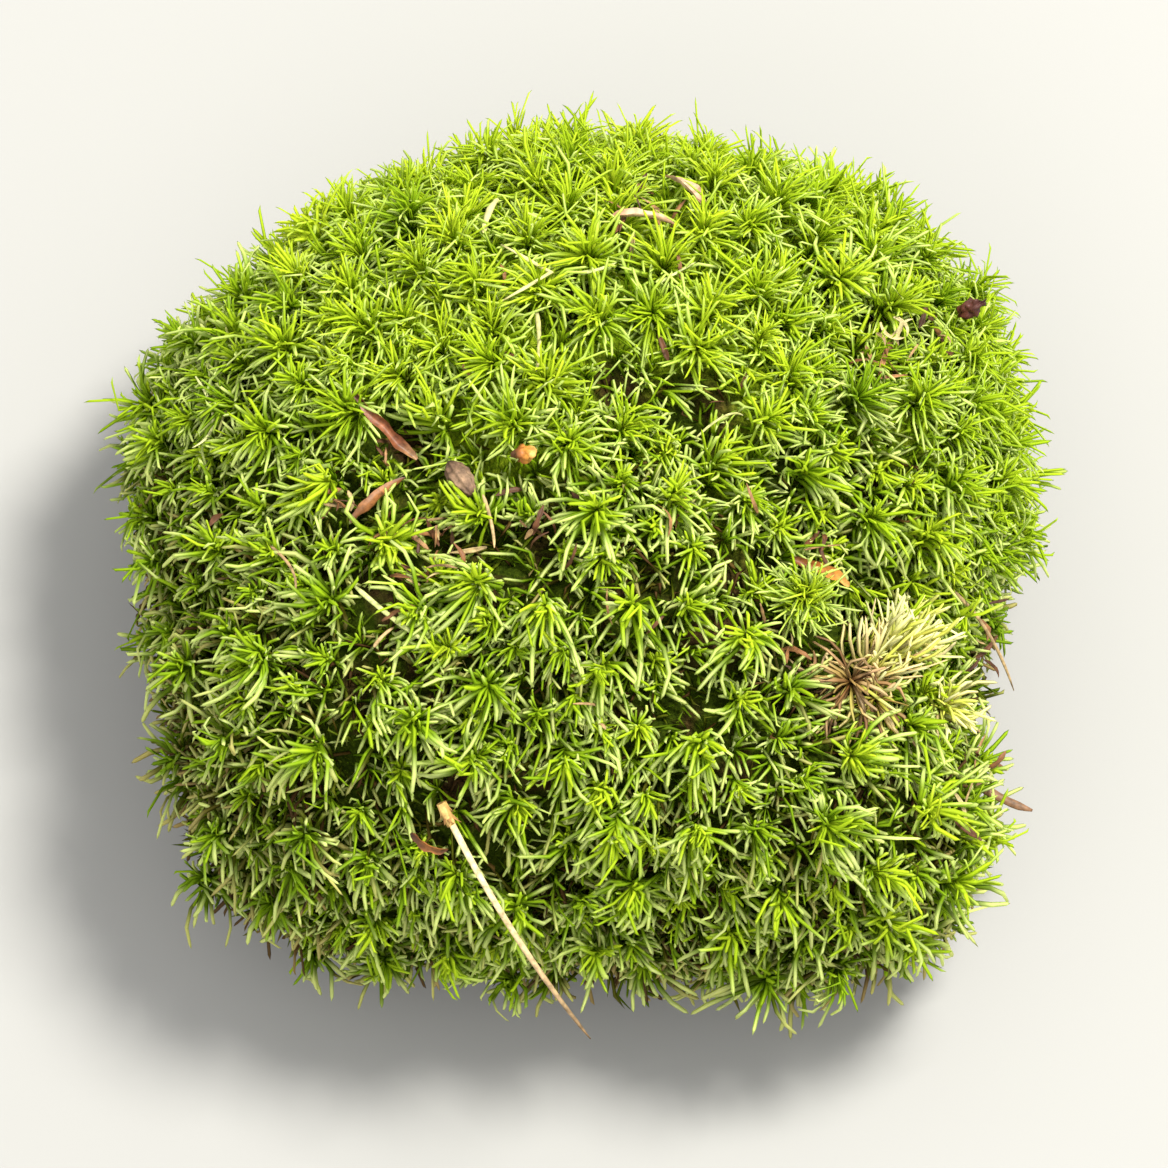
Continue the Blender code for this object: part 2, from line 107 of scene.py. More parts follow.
def unit(vectors):
    return vectors / np.maximum(np.linalg.norm(vectors, axis=-1, keepdims=True), 1e-12)


def smooth_step(values, low, high):
    share = np.clip((values - low) / (high - low), 0, 1)
    return share * share * (3 - 2 * share)


def level_sides(line):
    """The level direction across a line at each of its points, and the one square to both."""
    heading = unit(np.gradient(line, axis=0))
    side = unit(np.cross(heading, UP))
    return side, np.cross(side, heading)


# Meshes

def make_piece(name, points, quads, triangles, material, slot, replaced, uv=None, along=None, sharp=None):
    """A mesh object from arrays. It rides on the clump and stands for the named CAD nodes."""
    mesh = bpy.data.meshes.new(name)
    mesh.vertices.add(len(points))
    mesh.vertices.foreach_set("co", np.asarray(points, np.float32).ravel())
    corners = np.concatenate([np.ravel(quads), np.ravel(triangles)]).astype(np.int32)
    mesh.loops.add(len(corners))
    mesh.loops.foreach_set("vertex_index", corners)
    starts = np.concatenate([np.arange(len(quads)) * 4, len(quads) * 4 + np.arange(len(triangles)) * 3])
    mesh.polygons.add(len(starts))
    mesh.polygons.foreach_set("loop_start", starts.astype(np.int32))
    mesh.update(calc_edges=True)
    if uv is not None:
        layer = mesh.uv_layers.new(name="OFBake")
        layer.data.foreach_set("uv", np.asarray(uv, np.float32).ravel())
    if along is not None:
        attribute = mesh.attributes.new("along", "FLOAT", "POINT")
        attribute.data.foreach_set("value", np.asarray(along, np.float32))
    mesh.validate()
    mesh.shade_smooth()
    if sharp is not None:
        mesh.set_sharp_from_angle(angle=math.radians(sharp))
    mesh.materials.append(material)
    piece = bpy.data.objects.new(name, mesh)
    bpy.context.scene.collection.objects.link(piece)
    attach(piece, "root")
    if replaced:
        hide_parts(*replaced)


def welded(node):
    """A CAD node's mesh as a bmesh with its shared corners joined."""
    joined = bmesh.new()
    joined.from_mesh(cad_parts[node].data)
    bmesh.ops.remove_doubles(joined, verts=joined.verts, dist=0.001 * MM)
    joined.normal_update()
    joined.verts.ensure_lookup_table()
    return joined


def arrays_of(mesh_maker):
    """Points and triangles of a bmesh, which is freed."""
    bmesh.ops.triangulate(mesh_maker, faces=mesh_maker.faces)
    mesh_maker.verts.index_update()
    points = np.array([vertex.co for vertex in mesh_maker.verts])
    triangles = np.array([[v.index for v in face.verts] for face in mesh_maker.faces])
    mesh_maker.free()
    return points, triangles


def facing_out(points, quads, triangles):
    """Turns the faces of a closed body so that they face outward."""
    volume = 0.0
    for corners in (quads[:, :3], quads[:, [0, 2, 3]], triangles):
        a, b, c = (points[corners[:, i]] for i in range(3))
        volume += np.einsum("ij,ij->", a - points[0], np.cross(b - points[0], c - points[0]))
    if volume < 0:
        return quads[:, ::-1], triangles[:, ::-1]
    return quads, triangles


class Bodies:
    """Collects closed bodies for one piece."""

    def __init__(self):
        self.points, self.quads, self.triangles, self.along = [], [], [], []
        self.total = 0

    def add(self, points, quads, triangles, along):
        quads, triangles = facing_out(points, quads, triangles)
        self.points.append(points)
        self.quads.append(quads + self.total)
        self.triangles.append(triangles + self.total)
        self.along.append(np.broadcast_to(along, len(points)))
        self.total += len(points)

    def sweep(self, line, side, over, widths, section, flat=1.0, along=None):
        """Adds a body along a line. Its section is a closed loop of (side, over) shares.

        Its colour runs from 0 at one end to 1 at the other, unless one is given.
        """
        count, sides = len(line), len(section)
        if along is None:
            along = np.concatenate([np.repeat(np.linspace(0, 1, count), sides), [0, 1]])
        rings = line[:, None] + side[:, None] * (section[None, :, 0, None] * widths[:, None, None])
        rings = rings + over[:, None] * (section[None, :, 1, None] * (widths * flat)[:, None, None])
        points = np.concatenate([rings.reshape(-1, 3), line[:1], line[-1:]])
        ring, corner = np.meshgrid(np.arange(count - 1) * sides, np.arange(sides), indexing="ij")
        low, high = ring + corner, ring + (corner + 1) % sides
        quads = np.stack([low, high, high + sides, low + sides], axis=-1).reshape(-1, 4)
        corner = np.arange(sides)
        after, top = (corner + 1) % sides, (count - 1) * sides
        triangles = np.concatenate([
            np.stack([after, corner, np.full(sides, count * sides)], axis=-1),
            np.stack([top + corner, top + after, np.full(sides, count * sides + 1)], axis=-1),
        ])
        self.add(points, quads, triangles, along)

    def piece(self, name, material, slot, replaced, sharp=None):
        arrays = (np.concatenate(part) for part in (self.points, self.quads, self.triangles))
        along = np.concatenate(self.along)
        make_piece(name, *arrays, material, slot, replaced, along=along, sharp=sharp)


# Leaves

def leaf_faces(rings):
    """Corners of one leaf's quads and triangles, and their places on its strip of the map."""
    quads, quad_uv, triangles, triangle_uv = [], [], [], []
    places = LEAF_RINGS[rings]
    for ring, (low, high) in enumerate(zip(places, places[1:])):
        for side in range(3):
            first, second = ring * 3 + side, ring * 3 + (side + 1) % 3
            if high < 1:
                quads.append((first, second, second + 3, first + 3))
                quad_uv.append(((low, -1), (low, 1), (high, 1), (high, -1)))
            else:
                triangles.append((first, second, rings * 3))
                triangle_uv.append(((low, -1), (low, 1), (1, 0)))
    triangles.append((2, 1, 0))
    triangle_uv.append(((0, -1), (0.03, 1), (0, 1)))
    return [np.array(part) for part in (quads, quad_uv, triangles, triangle_uv)]


def leaf_points(leaves, rings):
    """Points of all leaves at once: three at each station, and a tip.

    A leaf starts at an angle to its shoot's axis and bends to another. On the way it may sweep
    sideways and wave, and it droops.
    """
    axis, away = leaves["axis"], leaves["away"]
    sideways = np.cross(axis, away)
    place = leaves["base"].copy()

    def heading_at(share):
        lean = leaves["start"] + (leaves["end"] - leaves["start"]) * share**0.85
        heading = np.cos(lean)[:, None] * axis + np.sin(lean)[:, None] * away
        heading += (leaves["sweep"] * share + leaves["wave"] * math.sin(4.6 * share))[:, None] * sideways
        heading += (leaves["flick"] * math.sin(5.2 * share))[:, None] * axis
        heading += leaves["comb"] * share**0.9
        heading -= (leaves["droop"] * share**1.5)[:, None] * UP
        return unit(heading)

    stations = []
    places = LEAF_RINGS[rings]
    for share, after in zip(places, places[1:]):
        heading = heading_at(share)
        across = unit(sideways - np.sum(sideways * heading, axis=1, keepdims=True) * heading)
        over = np.cross(across, heading)
        half = (leaves["width"] / 2 * np.interp(share, *LEAF_WIDTHS))[:, None]
        stations += [place + across * half, place - across * half, place - over * half * LEAF_DEPTH * 2]
        place = place + heading_at((share + after) / 2) * (leaves["length"] * (after - share))[:, None]
    points = np.stack(stations + [place], axis=1)
    points[..., 2] = np.maximum(points[..., 2], 0.5 * MM)
    return points


def grow(name, groups, material, slot, replaced):
    """One piece from groups of leaves, each with its count of rings."""
    points, quads, triangles, quad_maps, triangle_maps = [], [], [], [], []
    total = 0
    for leaves, rings in groups:
        if not len(leaves["fresh"]):
            continue
        shape = leaf_points(leaves, rings)
        count, per_leaf = shape.shape[:2]
        quad, quad_uv, triangle, triangle_uv = leaf_faces(rings)
        if not np.array_equal(facing_out(shape[0], quad, triangle)[0], quad):
            quad, quad_uv = quad[:, ::-1], quad_uv[:, ::-1]
            triangle, triangle_uv = triangle[:, ::-1], triangle_uv[:, ::-1]
        offsets = (total + np.arange(count) * per_leaf)[:, None, None]
        for uv, target in ((quad_uv, quad_maps), (triangle_uv, triangle_maps)):
            along = np.broadcast_to(uv[None, :, :, 0], (count, *uv.shape[:2]))
            along = along * leaves["reach"][:, None, None]
            strip = leaves["fresh"][:, None, None] + uv[None, :, :, 1] * MAP_HALF_STRIP
            target.append(np.stack([along * 0.996 + 0.002, strip], axis=-1).reshape(-1, 2))
        points.append(shape.reshape(-1, 3))
        quads.append((quad[None] + offsets).reshape(-1, 4))
        triangles.append((triangle[None] + offsets).reshape(-1, 3))
        total += count * per_leaf
    arrays = (np.concatenate(part) for part in (points, quads, triangles))
    make_piece(name, *arrays, material, slot, replaced, uv=np.concatenate(quad_maps + triangle_maps))


def join_leaves(parts):
    return {key: np.concatenate([part[key] for part in parts]) for key in parts[0]}


def pick(leaves, mask):
    return {key: value[mask] for key, value in leaves.items()}


# Materials

class Nodes:
    """Adds and joins the nodes of one material."""

    def __init__(self, name, roughness, specular):
        self.material = bpy.data.materials.new(name)
        self.material.use_nodes = True
        self.tree = self.material.node_tree
        self.shader = self.tree.nodes["Principled BSDF"]
        self.feed(self.shader, {"Roughness": roughness, "Specular IOR Level": specular})

    def feed(self, node, inputs):
        """Joins a node's inputs to sockets, or sets them to numbers and colours."""
        for key, value in inputs.items():
            if isinstance(value, bpy.types.NodeSocket):
                self.tree.links.new(value, node.inputs[key])
            else:
                node.inputs[key].default_value = value

    def add(self, kind, inputs, **values):
        node = self.tree.nodes.new(kind)
        for key, value in values.items():
            setattr(node, key, value)
        self.feed(node, inputs)
        return node

    def ramp(self, factor, stops, mode="LINEAR"):
        """A colour ramp with its stops as (place, red, green, blue)."""
        node = self.add("ShaderNodeValToRGB", {"Fac": factor})
        node.color_ramp.interpolation = mode
        elements = node.color_ramp.elements
        while len(elements) < len(stops):
            elements.new(0.5)
        for element, (place, *colour) in zip(elements, stops):
            element.position = place
            element.color = (*colour, 1)
        return node.outputs["Color"]

    def fade(self, factor, low, high, start=0, end=1, mode="LINEAR"):
        """Grey from its start value at the low place to its end value at the high one."""
        return self.ramp(factor, ((low, start, start, start), (high, end, end, end)), mode)

    def noise(self, coordinates, scale, detail, roughness, kind="3D"):
        inputs = {"Scale": scale, "Detail": detail, "Roughness": roughness}
        inputs["W" if kind == "1D" else "Vector"] = coordinates
        return self.add("ShaderNodeTexNoise", inputs, noise_dimensions=kind).outputs["Fac"]

    def mix(self, factor, first, second, blend="MIX"):
        inputs = {0: factor, 6: first, 7: second}
        return self.add("ShaderNodeMix", inputs, data_type="RGBA", blend_type=blend).outputs[2]

    def position(self):
        return self.add("ShaderNodeTexCoord", {}).outputs["Object"]

    def along(self):
        return self.add("ShaderNodeAttribute", {}, attribute_name="along").outputs["Fac"]

    def bump(self, height, strength, distance):
        node = self.add("ShaderNodeBump", {"Strength": strength, "Distance": distance, "Height": height})
        self.feed(self.shader, {"Normal": node.outputs["Normal"]})

    def colour(self, value):
        self.feed(self.shader, {"Base Color": value})

    def let_light_through(self, socket, share):
        """Mixes in a share of light that comes through from behind."""
        through = self.add("ShaderNodeBsdfTranslucent", {"Color": socket})
        inputs = {0: share, 1: self.shader.outputs[0], 2: through.outputs[0]}
        mixer = self.add("ShaderNodeMixShader", inputs)
        self.feed(self.tree.nodes["Material Output"], {"Surface": mixer.outputs[0]})


def leaf_material(name, roughness, base, blade_stops, tip_stops, pale_from, through, spread):
    """Leaves coloured from their own map: from base to tip, and across it from dead to fresh. Each leaf is
    tinted darker towards its base: painted shade where the bases sit deep in the shoot, partly the leaf's
    own browner base.
    """
    nodes = Nodes(name, roughness, 0.07)
    own_map = nodes.add("ShaderNodeUVMap", {}, uv_map="OFBake")
    parts = nodes.add("ShaderNodeSeparateXYZ", {0: own_map.outputs[0]})
    along, fresh = parts.outputs["X"], parts.outputs["Y"]
    whiten = nodes.fade(along, pale_from, 0.78, mode="EASE")
    colour = nodes.mix(whiten, nodes.ramp(fresh, blade_stops), nodes.ramp(fresh, tip_stops))
    # painted shade: the lower part of each leaf is multiplied by the base tint, darker where the bases sit
    # deep in the shoot; partly the leaf's own browner base
    low = nodes.fade(along, 0.02, 0.30, 1, 0, "EASE")
    colour = nodes.mix(low, colour, nodes.mix(1.0, colour, (*base, 1), "MULTIPLY"))
    shade = nodes.ramp(nodes.noise(fresh, 95.0, 2.0, 0.6, "1D"), (
        (0.3, 1 - spread, 1 - spread, 1 - spread), (0.7, 1 + spread, 1 + spread * 0.8, 1.0),
    ))
    colour = nodes.mix(1.0, colour, shade, "MULTIPLY")
    nodes.colour(colour)
    nodes.let_light_through(colour, through)
    return nodes.material


def leaf_green():
    """Moss leaves: brown where dead, then deep green, and yellow green where fresh."""
    return leaf_material(
        "moss_leaf", 0.45, (0.80, 0.86, 0.60),
        (
            (0.0, 0.09, 0.045, 0.018), (0.10, 0.15, 0.09, 0.025), (0.22, 0.13, 0.13, 0.012),
            (0.38, 0.13, 0.22, 0.008), (0.58, 0.275, 0.45, 0.014), (0.78, 0.46, 0.63, 0.022),
            (1.0, 0.62, 0.75, 0.04),
        ),
        (
            (0.0, 0.12, 0.07, 0.03), (0.12, 0.50, 0.38, 0.15), (0.30, 0.66, 0.68, 0.24),
            (0.45, 0.77, 0.86, 0.35), (0.66, 0.74, 0.85, 0.30), (0.82, 0.67, 0.81, 0.22),
            (1.0, 0.62, 0.78, 0.14),
        ),
        0.38, 0.52, 0.12,
    )


def leaf_withered():
    """Dead leaves: from brown and pinkish to bleached cream."""
    return leaf_material(
        "withered_leaf", 0.5, (0.55, 0.38, 0.25),
        (
            (0.0, 0.10, 0.05, 0.025), (0.3, 0.30, 0.17, 0.075), (0.55, 0.40, 0.30, 0.11),
            (0.8, 0.52, 0.54, 0.10), (1.0, 0.64, 0.70, 0.14),
        ),
        (
            (0.0, 0.22, 0.12, 0.07), (0.3, 0.58, 0.39, 0.22), (0.55, 0.76, 0.63, 0.36),
            (0.8, 0.86, 0.86, 0.42), (1.0, 0.90, 0.93, 0.52),
        ),
        0.30, 0.3, 0.30,
    )


def thatch_dark():
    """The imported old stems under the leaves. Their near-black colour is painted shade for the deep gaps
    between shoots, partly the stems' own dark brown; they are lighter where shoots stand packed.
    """
    nodes = Nodes("moss_thatch", 0.9, 0.0)
    place = nodes.position()
    grain = nodes.noise(place, 1900.0, 3.0, 0.7)
    patch = nodes.noise(place, 160.0, 2.0, 0.5)
    green = nodes.ramp(grain, (
        (0.3, 0.010, 0.017, 0.002), (0.55, 0.024, 0.038, 0.003), (0.8, 0.070, 0.095, 0.006),
    ))
    brown = nodes.ramp(grain, (
        (0.3, 0.013, 0.008, 0.004), (0.55, 0.036, 0.022, 0.008), (0.8, 0.100, 0.060, 0.022),
    ))
    packed = nodes.ramp(grain, (
        (0.36, 0.05, 0.085, 0.003), (0.52, 0.15, 0.22, 0.008), (0.66, 0.28, 0.36, 0.015),
    ))
    # painted shade: where shoots stand apart, in the hollows and low down, the stems are coloured nearly
    # black
    apart_shade = nodes.mix(nodes.fade(patch, 0.50, 0.62), green, brown)
    nodes.colour(nodes.mix(nodes.along(), apart_shade, packed))
    nodes.bump(grain, 0.8, 0.6 * MM)
    return nodes.material


def humus_dark():
    """Dark crumbly earth held by old roots."""
    nodes = Nodes("humus", 0.95, 0.15)
    place = nodes.position()
    grain = nodes.noise(place, 700.0, 5.0, 0.62)
    patch = nodes.noise(place, 110.0, 3.0, 0.5)
    dark = nodes.ramp(grain, (
        (0.28, 0.010, 0.006, 0.004), (0.5, 0.038, 0.022, 0.012), (0.72, 0.11, 0.062, 0.030),
    ))
    light = nodes.ramp(grain, (
        (0.28, 0.030, 0.016, 0.008), (0.5, 0.085, 0.048, 0.024), (0.72, 0.22, 0.14, 0.075),
    ))
    nodes.colour(nodes.mix(nodes.fade(patch, 0.45, 0.62), dark, light))
    nodes.bump(grain, 0.9, 0.5 * MM)
    return nodes.material


def striped(name, roughness, grain, contrast, *stops):
    """Litter whose colour runs from one end to the other, with fine grain over it."""
    nodes = Nodes(name, roughness, 0.3)
    fleck = nodes.noise(nodes.position(), grain, 4.0, 0.6)
    shade = nodes.fade(fleck, 0.3, 0.7, 1 - contrast, 1 + contrast)
    nodes.colour(nodes.mix(1.0, nodes.ramp(nodes.along(), stops), shade, "MULTIPLY"))
    nodes.bump(fleck, 0.5, 0.15 * MM)
    return nodes.material


# The moss

def tips_and_middles(cushion):
    """Tips of tufts, where many faces meet, and the low middles that touch three tips."""
    tips = [v for v in cushion.verts if len(v.link_edges) >= TUFT_VALENCE]
    known = set(tips)
    middles = [
        v for v in cushion.verts
        if v not in known and sum(edge.other_vert(v) in known for edge in v.link_edges) == 3
    ]
    return tips, middles


def read_tufts():
    """Places of the CAD tufts' tips and of the middles, and the way out of each."""
    cushion = welded("moss_cushion")
    tree = KDTree(len(cushion.verts))
    for number, vertex in enumerate(cushion.verts):
        tree.insert(vertex.co, number)
    tree.balance()

    def outward(vertex):
        found = tree.find_range(vertex.co, NORMAL_REACH)
        total = sum((cushion.verts[number].normal for _, number, _ in found), Vector())
        return total.normalized()

    def arrays(vertices):
        vertices = sorted(vertices, key=lambda v: tuple(round(c, 5) for c in v.co))
        places = np.array([vertex.co for vertex in vertices])
        outwards = np.array([outward(vertex) for vertex in vertices])
        high = places[:, 2] > TUFTS_FROM
        return places[high], outwards[high]

    found = [arrays(vertices) for vertices in tips_and_middles(cushion)]
    cushion.free()
    return found


def slow_noise(places, scale, seed):
    """Slow noise over the clump, about -1 to 1."""
    shift = Vector((seed, 0, 0))
    return np.array([noise.noise(Vector(place) / MM * scale + shift) for place in places])


def openness(places):
    """1 where shoots stand apart, on the front and the left, and 0 where they are packed."""
    x, y = places[:, 0] / MM, places[:, 1] / MM
    opened = 1 - smooth_step(y + 5 * slow_noise(places, 0.08, 5.0), -12, 16)
    opened += 0.45 * (1 - smooth_step(x, -42, -20)) + 0.6 * in_hollows(places)
    return np.clip(opened, 0, 1)


def base_freshness_and_shade(places):
    """Brighter and yellower over the crown and the right, browner low on the flanks, and darker on the
    left, which is painted shade as if the light came from the right.
    """
    x, y, z = (places[:, i] / MM for i in range(3))
    fresh = 0.55 + 0.22 * smooth_step(y, -32, 20) + 0.03 * smooth_step(x, -35, 30)
    fresh -= 0.09 * smooth_step(x, 8, 34) * smooth_step(y, -12, 10)
    # painted shade: the left side is coloured darker, as if the light came from the right
    fresh -= 0.24 * (1 - smooth_step(x, -46, -22))
    fresh += 0.16 * slow_noise(places, 0.07, 3.1) + 0.12 * slow_noise(places, 0.20, 7.7)
    fresh -= 0.34 * (1 - smooth_step(z, 6, 24))
    bare = np.linalg.norm(places / MM - (46, -11, 18), axis=1)
    return fresh - 0.35 * (1 - smooth_step(bare, 4, 12))


def comb_direction(places, outwards, strength):
    """Neighbouring shoots lean their leaves the same way, mostly down the slope."""
    turn = math.tau * slow_noise(places, 0.06, 21.0) * 1.2
    flat = 0.6 * np.stack([np.cos(turn), np.sin(turn), np.zeros(len(turn))], axis=1)
    flat[:, :2] += 2.0 * outwards[:, :2]
    flat -= np.sum(flat * outwards, axis=1, keepdims=True) * outwards
    return flat * (strength * np.clip(1.4 * outwards[:, 2], 0.3, 1))[:, None]


def shoot_leaves(places, outwards, count, kinds, openness_shares, fresh, size, tilt=0.2, comb=0.95):
    """Leaves of many shoots. The two kinds are mixed by each shoot's openness."""
    number = len(places)
    axes = outwards.copy()
    axes[:, 2] += (0.35 + 0.65 * openness_shares) * (1 - outwards[:, 2])
    axes = unit(unit(axes) + chance.normal(0, tilt, (number, 3)))
    order = np.tile((np.arange(count) + 0.5) / count, (number, 1))
    order = np.clip(order + chance.normal(0, 0.03, order.shape), 0, 1).ravel()
    shoot = np.repeat(np.arange(number), count)
    opened = openness_shares[shoot]
    axis = axes[shoot]
    side = unit(np.cross(axes, np.array([0.31, 0.83, 0.46])))
    back = np.cross(axes, side)

    def vary(spread):
        return chance.normal(0, spread, len(order))

    golden = math.pi * (3 - math.sqrt(5))
    turn = np.tile(np.arange(count) * golden, number)
    turn += np.repeat(chance.uniform(0, math.tau, number), count)
    turn += vary(0.6)
    away = np.cos(turn)[:, None] * side[shoot] + np.sin(turn)[:, None] * back[shoot]
    scale = size[shoot]

    def between(part, spread):
        low, high = (
            dense + opened * (wide - dense) for dense, wide in zip(kinds[0][part], kinds[1][part])
        )
        return (low + (high - low) * order) * (1 + vary(spread))

    steep = np.clip(1 - outwards[shoot][:, 2], 0, 1)
    strength = comb * (0.28 + 1.1 * openness_shares) * chance.uniform(0.6, 1.4, number)
    combs = comb_direction(places, outwards, strength)
    downhill = np.einsum("ij,ij->i", away, unit(combs[shoot]))
    inner = smooth_step(order, 0.4, 0.95)
    reach = (1.04 - 0.62 * inner) * (0.78 + 0.22 * opened) + vary(0.08)
    droop = 0.2 + 1.1 * steep + 0.5 * opened + vary(0.15)
    bend = np.repeat(chance.uniform(0.75, 1.2, number), count)
    return {
        "base": places[shoot] - axis * (between(DROP, 0.1) * scale)[:, None] * MM,
        "axis": axis,
        "away": away,
        "start": np.radians(between(START, 0.3)),
        "end": np.radians(between(END, 0.25)) * bend,
        "length": np.clip(between(LENGTH, 0.24), 1.4, 7.8) * (1 + 0.3 * opened * downhill) * scale * MM,
        "width": between(WIDTH, 0.14) * np.sqrt(scale) * MM,
        "sweep": np.repeat(chance.normal(0, 0.6, number), count) + vary(0.9),
        "wave": vary(0.3) * (1 + opened),
        "flick": vary(0.28) * (1 + opened),
        "comb": combs[shoot] * (1 - 0.85 * inner)[:, None],
        "reach": np.clip(reach, 0.3, 1),
        "droop": droop * (1 - 0.7 * inner),
        "fresh": np.clip(
            fresh[shoot] + (0.20 + 0.22 * opened) * (order - 0.4) + vary(0.05), 0.01, 0.99
        ),
        "order": order,
        "shoot": shoot,
    }


def choose_large(places, opened):
    """Picks shoots that stand well apart. The others stay small between them."""
    room = (5.0 + 2.5 * opened) * MM
    large = np.zeros(len(places), bool)
    for number in chance.permutation(len(places)):
        gaps = np.linalg.norm(places[large] - places[number], axis=1)
        large[number] = not (gaps < room[number]).any()
    return large


def hollow_gaps(places):
    """How far the places lie from each hollow's middle, with its half width, in mm."""
    for x, y, reach in HOLLOWS:
        yield np.hypot(places[:, 0] / MM - x, places[:, 1] / MM - y), reach


def outside_hollows(places, room=0.0):
    clear = np.ones(len(places), bool)
    for gap, reach in hollow_gaps(places):
        clear &= (gap > reach + room) | (places[:, 2] < HOLLOWS_FROM)
    return clear


def in_hollows(places):
    """1 in the middle of a hollow and 0 beside it."""
    depth = np.zeros(len(places))
    for gap, reach in hollow_gaps(places):
        depth = np.maximum(depth, 1 - smooth_step(gap, reach + 0.8, reach + 4.0))
    return depth * (places[:, 2] > HOLLOWS_FROM)


def old_leaves(surface):
    """Old leaves, brown and dark green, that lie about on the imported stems."""
    points, triangles = surface
    a, b, c = (points[triangles[:, i]] for i in range(3))
    crosses = np.cross(b - a, c - a)
    areas = np.linalg.norm(crosses, axis=1) * (a[:, 2] > 10 * MM) * (0.5 + openness(a))
    faces = chance.choice(len(triangles), OLD_LEAVES, p=areas / areas.sum())
    first, second = np.sqrt(chance.uniform(0, 1, OLD_LEAVES)), chance.uniform(0, 1, OLD_LEAVES)
    shares = np.stack([1 - first, first * (1 - second), first * second], axis=1)
    places = shares[:, :1] * a[faces] + shares[:, 1:2] * b[faces] + shares[:, 2:] * c[faces]
    packed = (1 - openness(places)) * (1 - in_hollows(places))
    fresh = chance.uniform(0.18, 0.42, OLD_LEAVES) + 0.34 * packed
    fresh -= 0.3 * (chance.uniform(0, 1, OLD_LEAVES) < 0.25 - 0.22 * packed)
    leaves = shoot_leaves(
        places, unit(crosses[faces]), 1, (OLD_LEAF, OLD_LEAF), np.ones(OLD_LEAVES), fresh,
        chance.uniform(0.7, 1.3, OLD_LEAVES), tilt=0.35, comb=0.2,
    )
    leaves["reach"] = chance.uniform(0.3, 0.62, OLD_LEAVES)
    return leaves


def piece_number(leaves):
    """Each leaf's piece: crown front or back, or the front, left, back or right flank."""
    base = leaves["base"]
    angle = np.degrees(np.arctan2(base[:, 1], base[:, 0])) % 360
    flank = np.select([(angle >= low) & (angle < low + 90) for low in (225, 135, 45)], [2, 3, 4], 5)
    return np.where(base[:, 2] > CROWN_FROM, np.where(base[:, 1] < 0, 0, 1), flank)


def moss(under_leaves):
    """Shoots on the tufts, smaller ones between, one round ball and the old leaves below."""
    (tips, tip_outwards), (middles, middle_outwards) = read_tufts()
    material = leaf_green()
    keep = outside_hollows(tips) & (np.hypot(*(tips[:, :2] / MM - BALL_PLACE).T) > BALL_ROOM)
    tips, tip_outwards = tips[keep], tip_outwards[keep]
    opened = openness(tips)
    large = choose_large(tips, opened)
    size = np.where(large, chance.uniform(1.0, 1.2, len(tips)), chance.uniform(0.68, 0.9, len(tips)))
    lift = np.where(large, 0.5 + 0.6 * opened, -1.5 * opened) - FLANK_SINK * (1 - tip_outwards[:, 2])
    tips = tips + tip_outwards * lift[:, None] * MM
    shoots = shoot_leaves(
        tips, tip_outwards, SHOOT_LEAVES, (DENSE_SHOOT, OPEN_SHOOT), opened,
        base_freshness_and_shade(tips) + chance.normal(0, 0.05, len(tips)), size,
    )
    share = np.where(large, 0.88 - 0.44 * opened, 0.74 - 0.38 * opened)[shoots["shoot"]]
    share = np.where(shoots["order"] < 0.62, share, 0.65 * share + 0.35)
    kept = chance.uniform(0, 1, len(shoots["fresh"])) < share
    hooked = opened[shoots["shoot"]] > 0.35
    shoots["rings"] = np.where(shoots["order"] < INNER_FROM, np.where(hooked, 5, 4), 3)
    shoots = pick(shoots, kept)
    keep = outside_hollows(middles, 0.8)
    middles, middle_outwards = middles[keep], middle_outwards[keep]
    fill_opened = openness(middles)
    fillers = shoot_leaves(
        middles, middle_outwards, FILLER_LEAVES, (DENSE_FILLER, OPEN_FILLER), fill_opened,
        base_freshness_and_shade(middles) - 0.03 - 0.14 * fill_opened + chance.normal(0, 0.05, len(middles)),
        chance.uniform(0.8, 1.15, len(middles)),
    )
    kept = chance.uniform(0, 1, len(fillers["fresh"])) < (1.0 - 0.4 * fill_opened)[fillers["shoot"]]
    fillers = pick(fillers, kept)
    ball = lone_shoot(
        (*BALL_PLACE, BALL_HEIGHT), BALL_AXIS, BALL_LEAVES, BALL_SHOOT, 0.80, (0, 0, 0), 0.04, 0.1
    )
    old = old_leaves(under_leaves)
    groups = [(pick(shoots, shoots["rings"] == rings), rings) for rings in (5, 4, 3)]
    groups += [(fillers, 3), (old, 2), (ball, 3)]
    names = ("moss_crown_front", "moss_crown_back", "moss_front", "moss_left", "moss_back", "moss_right")
    for number, name in enumerate(names):
        own = [(pick(leaves, piece_number(leaves) == number), rings) for leaves, rings in groups]
        grow(name, own, material, "moss", ["moss_cushion"])


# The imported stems: how deep they lie under a tuft's tip, a middle and an edge, in mm
TIP_SINK, MIDDLE_SINK, EDGE_SINK = 5.6, 2.9, 4.2
STEMS_MIDDLE = Vector((0, 0, 20)) * MM
STEMS_LOWEST = 12.4 * MM


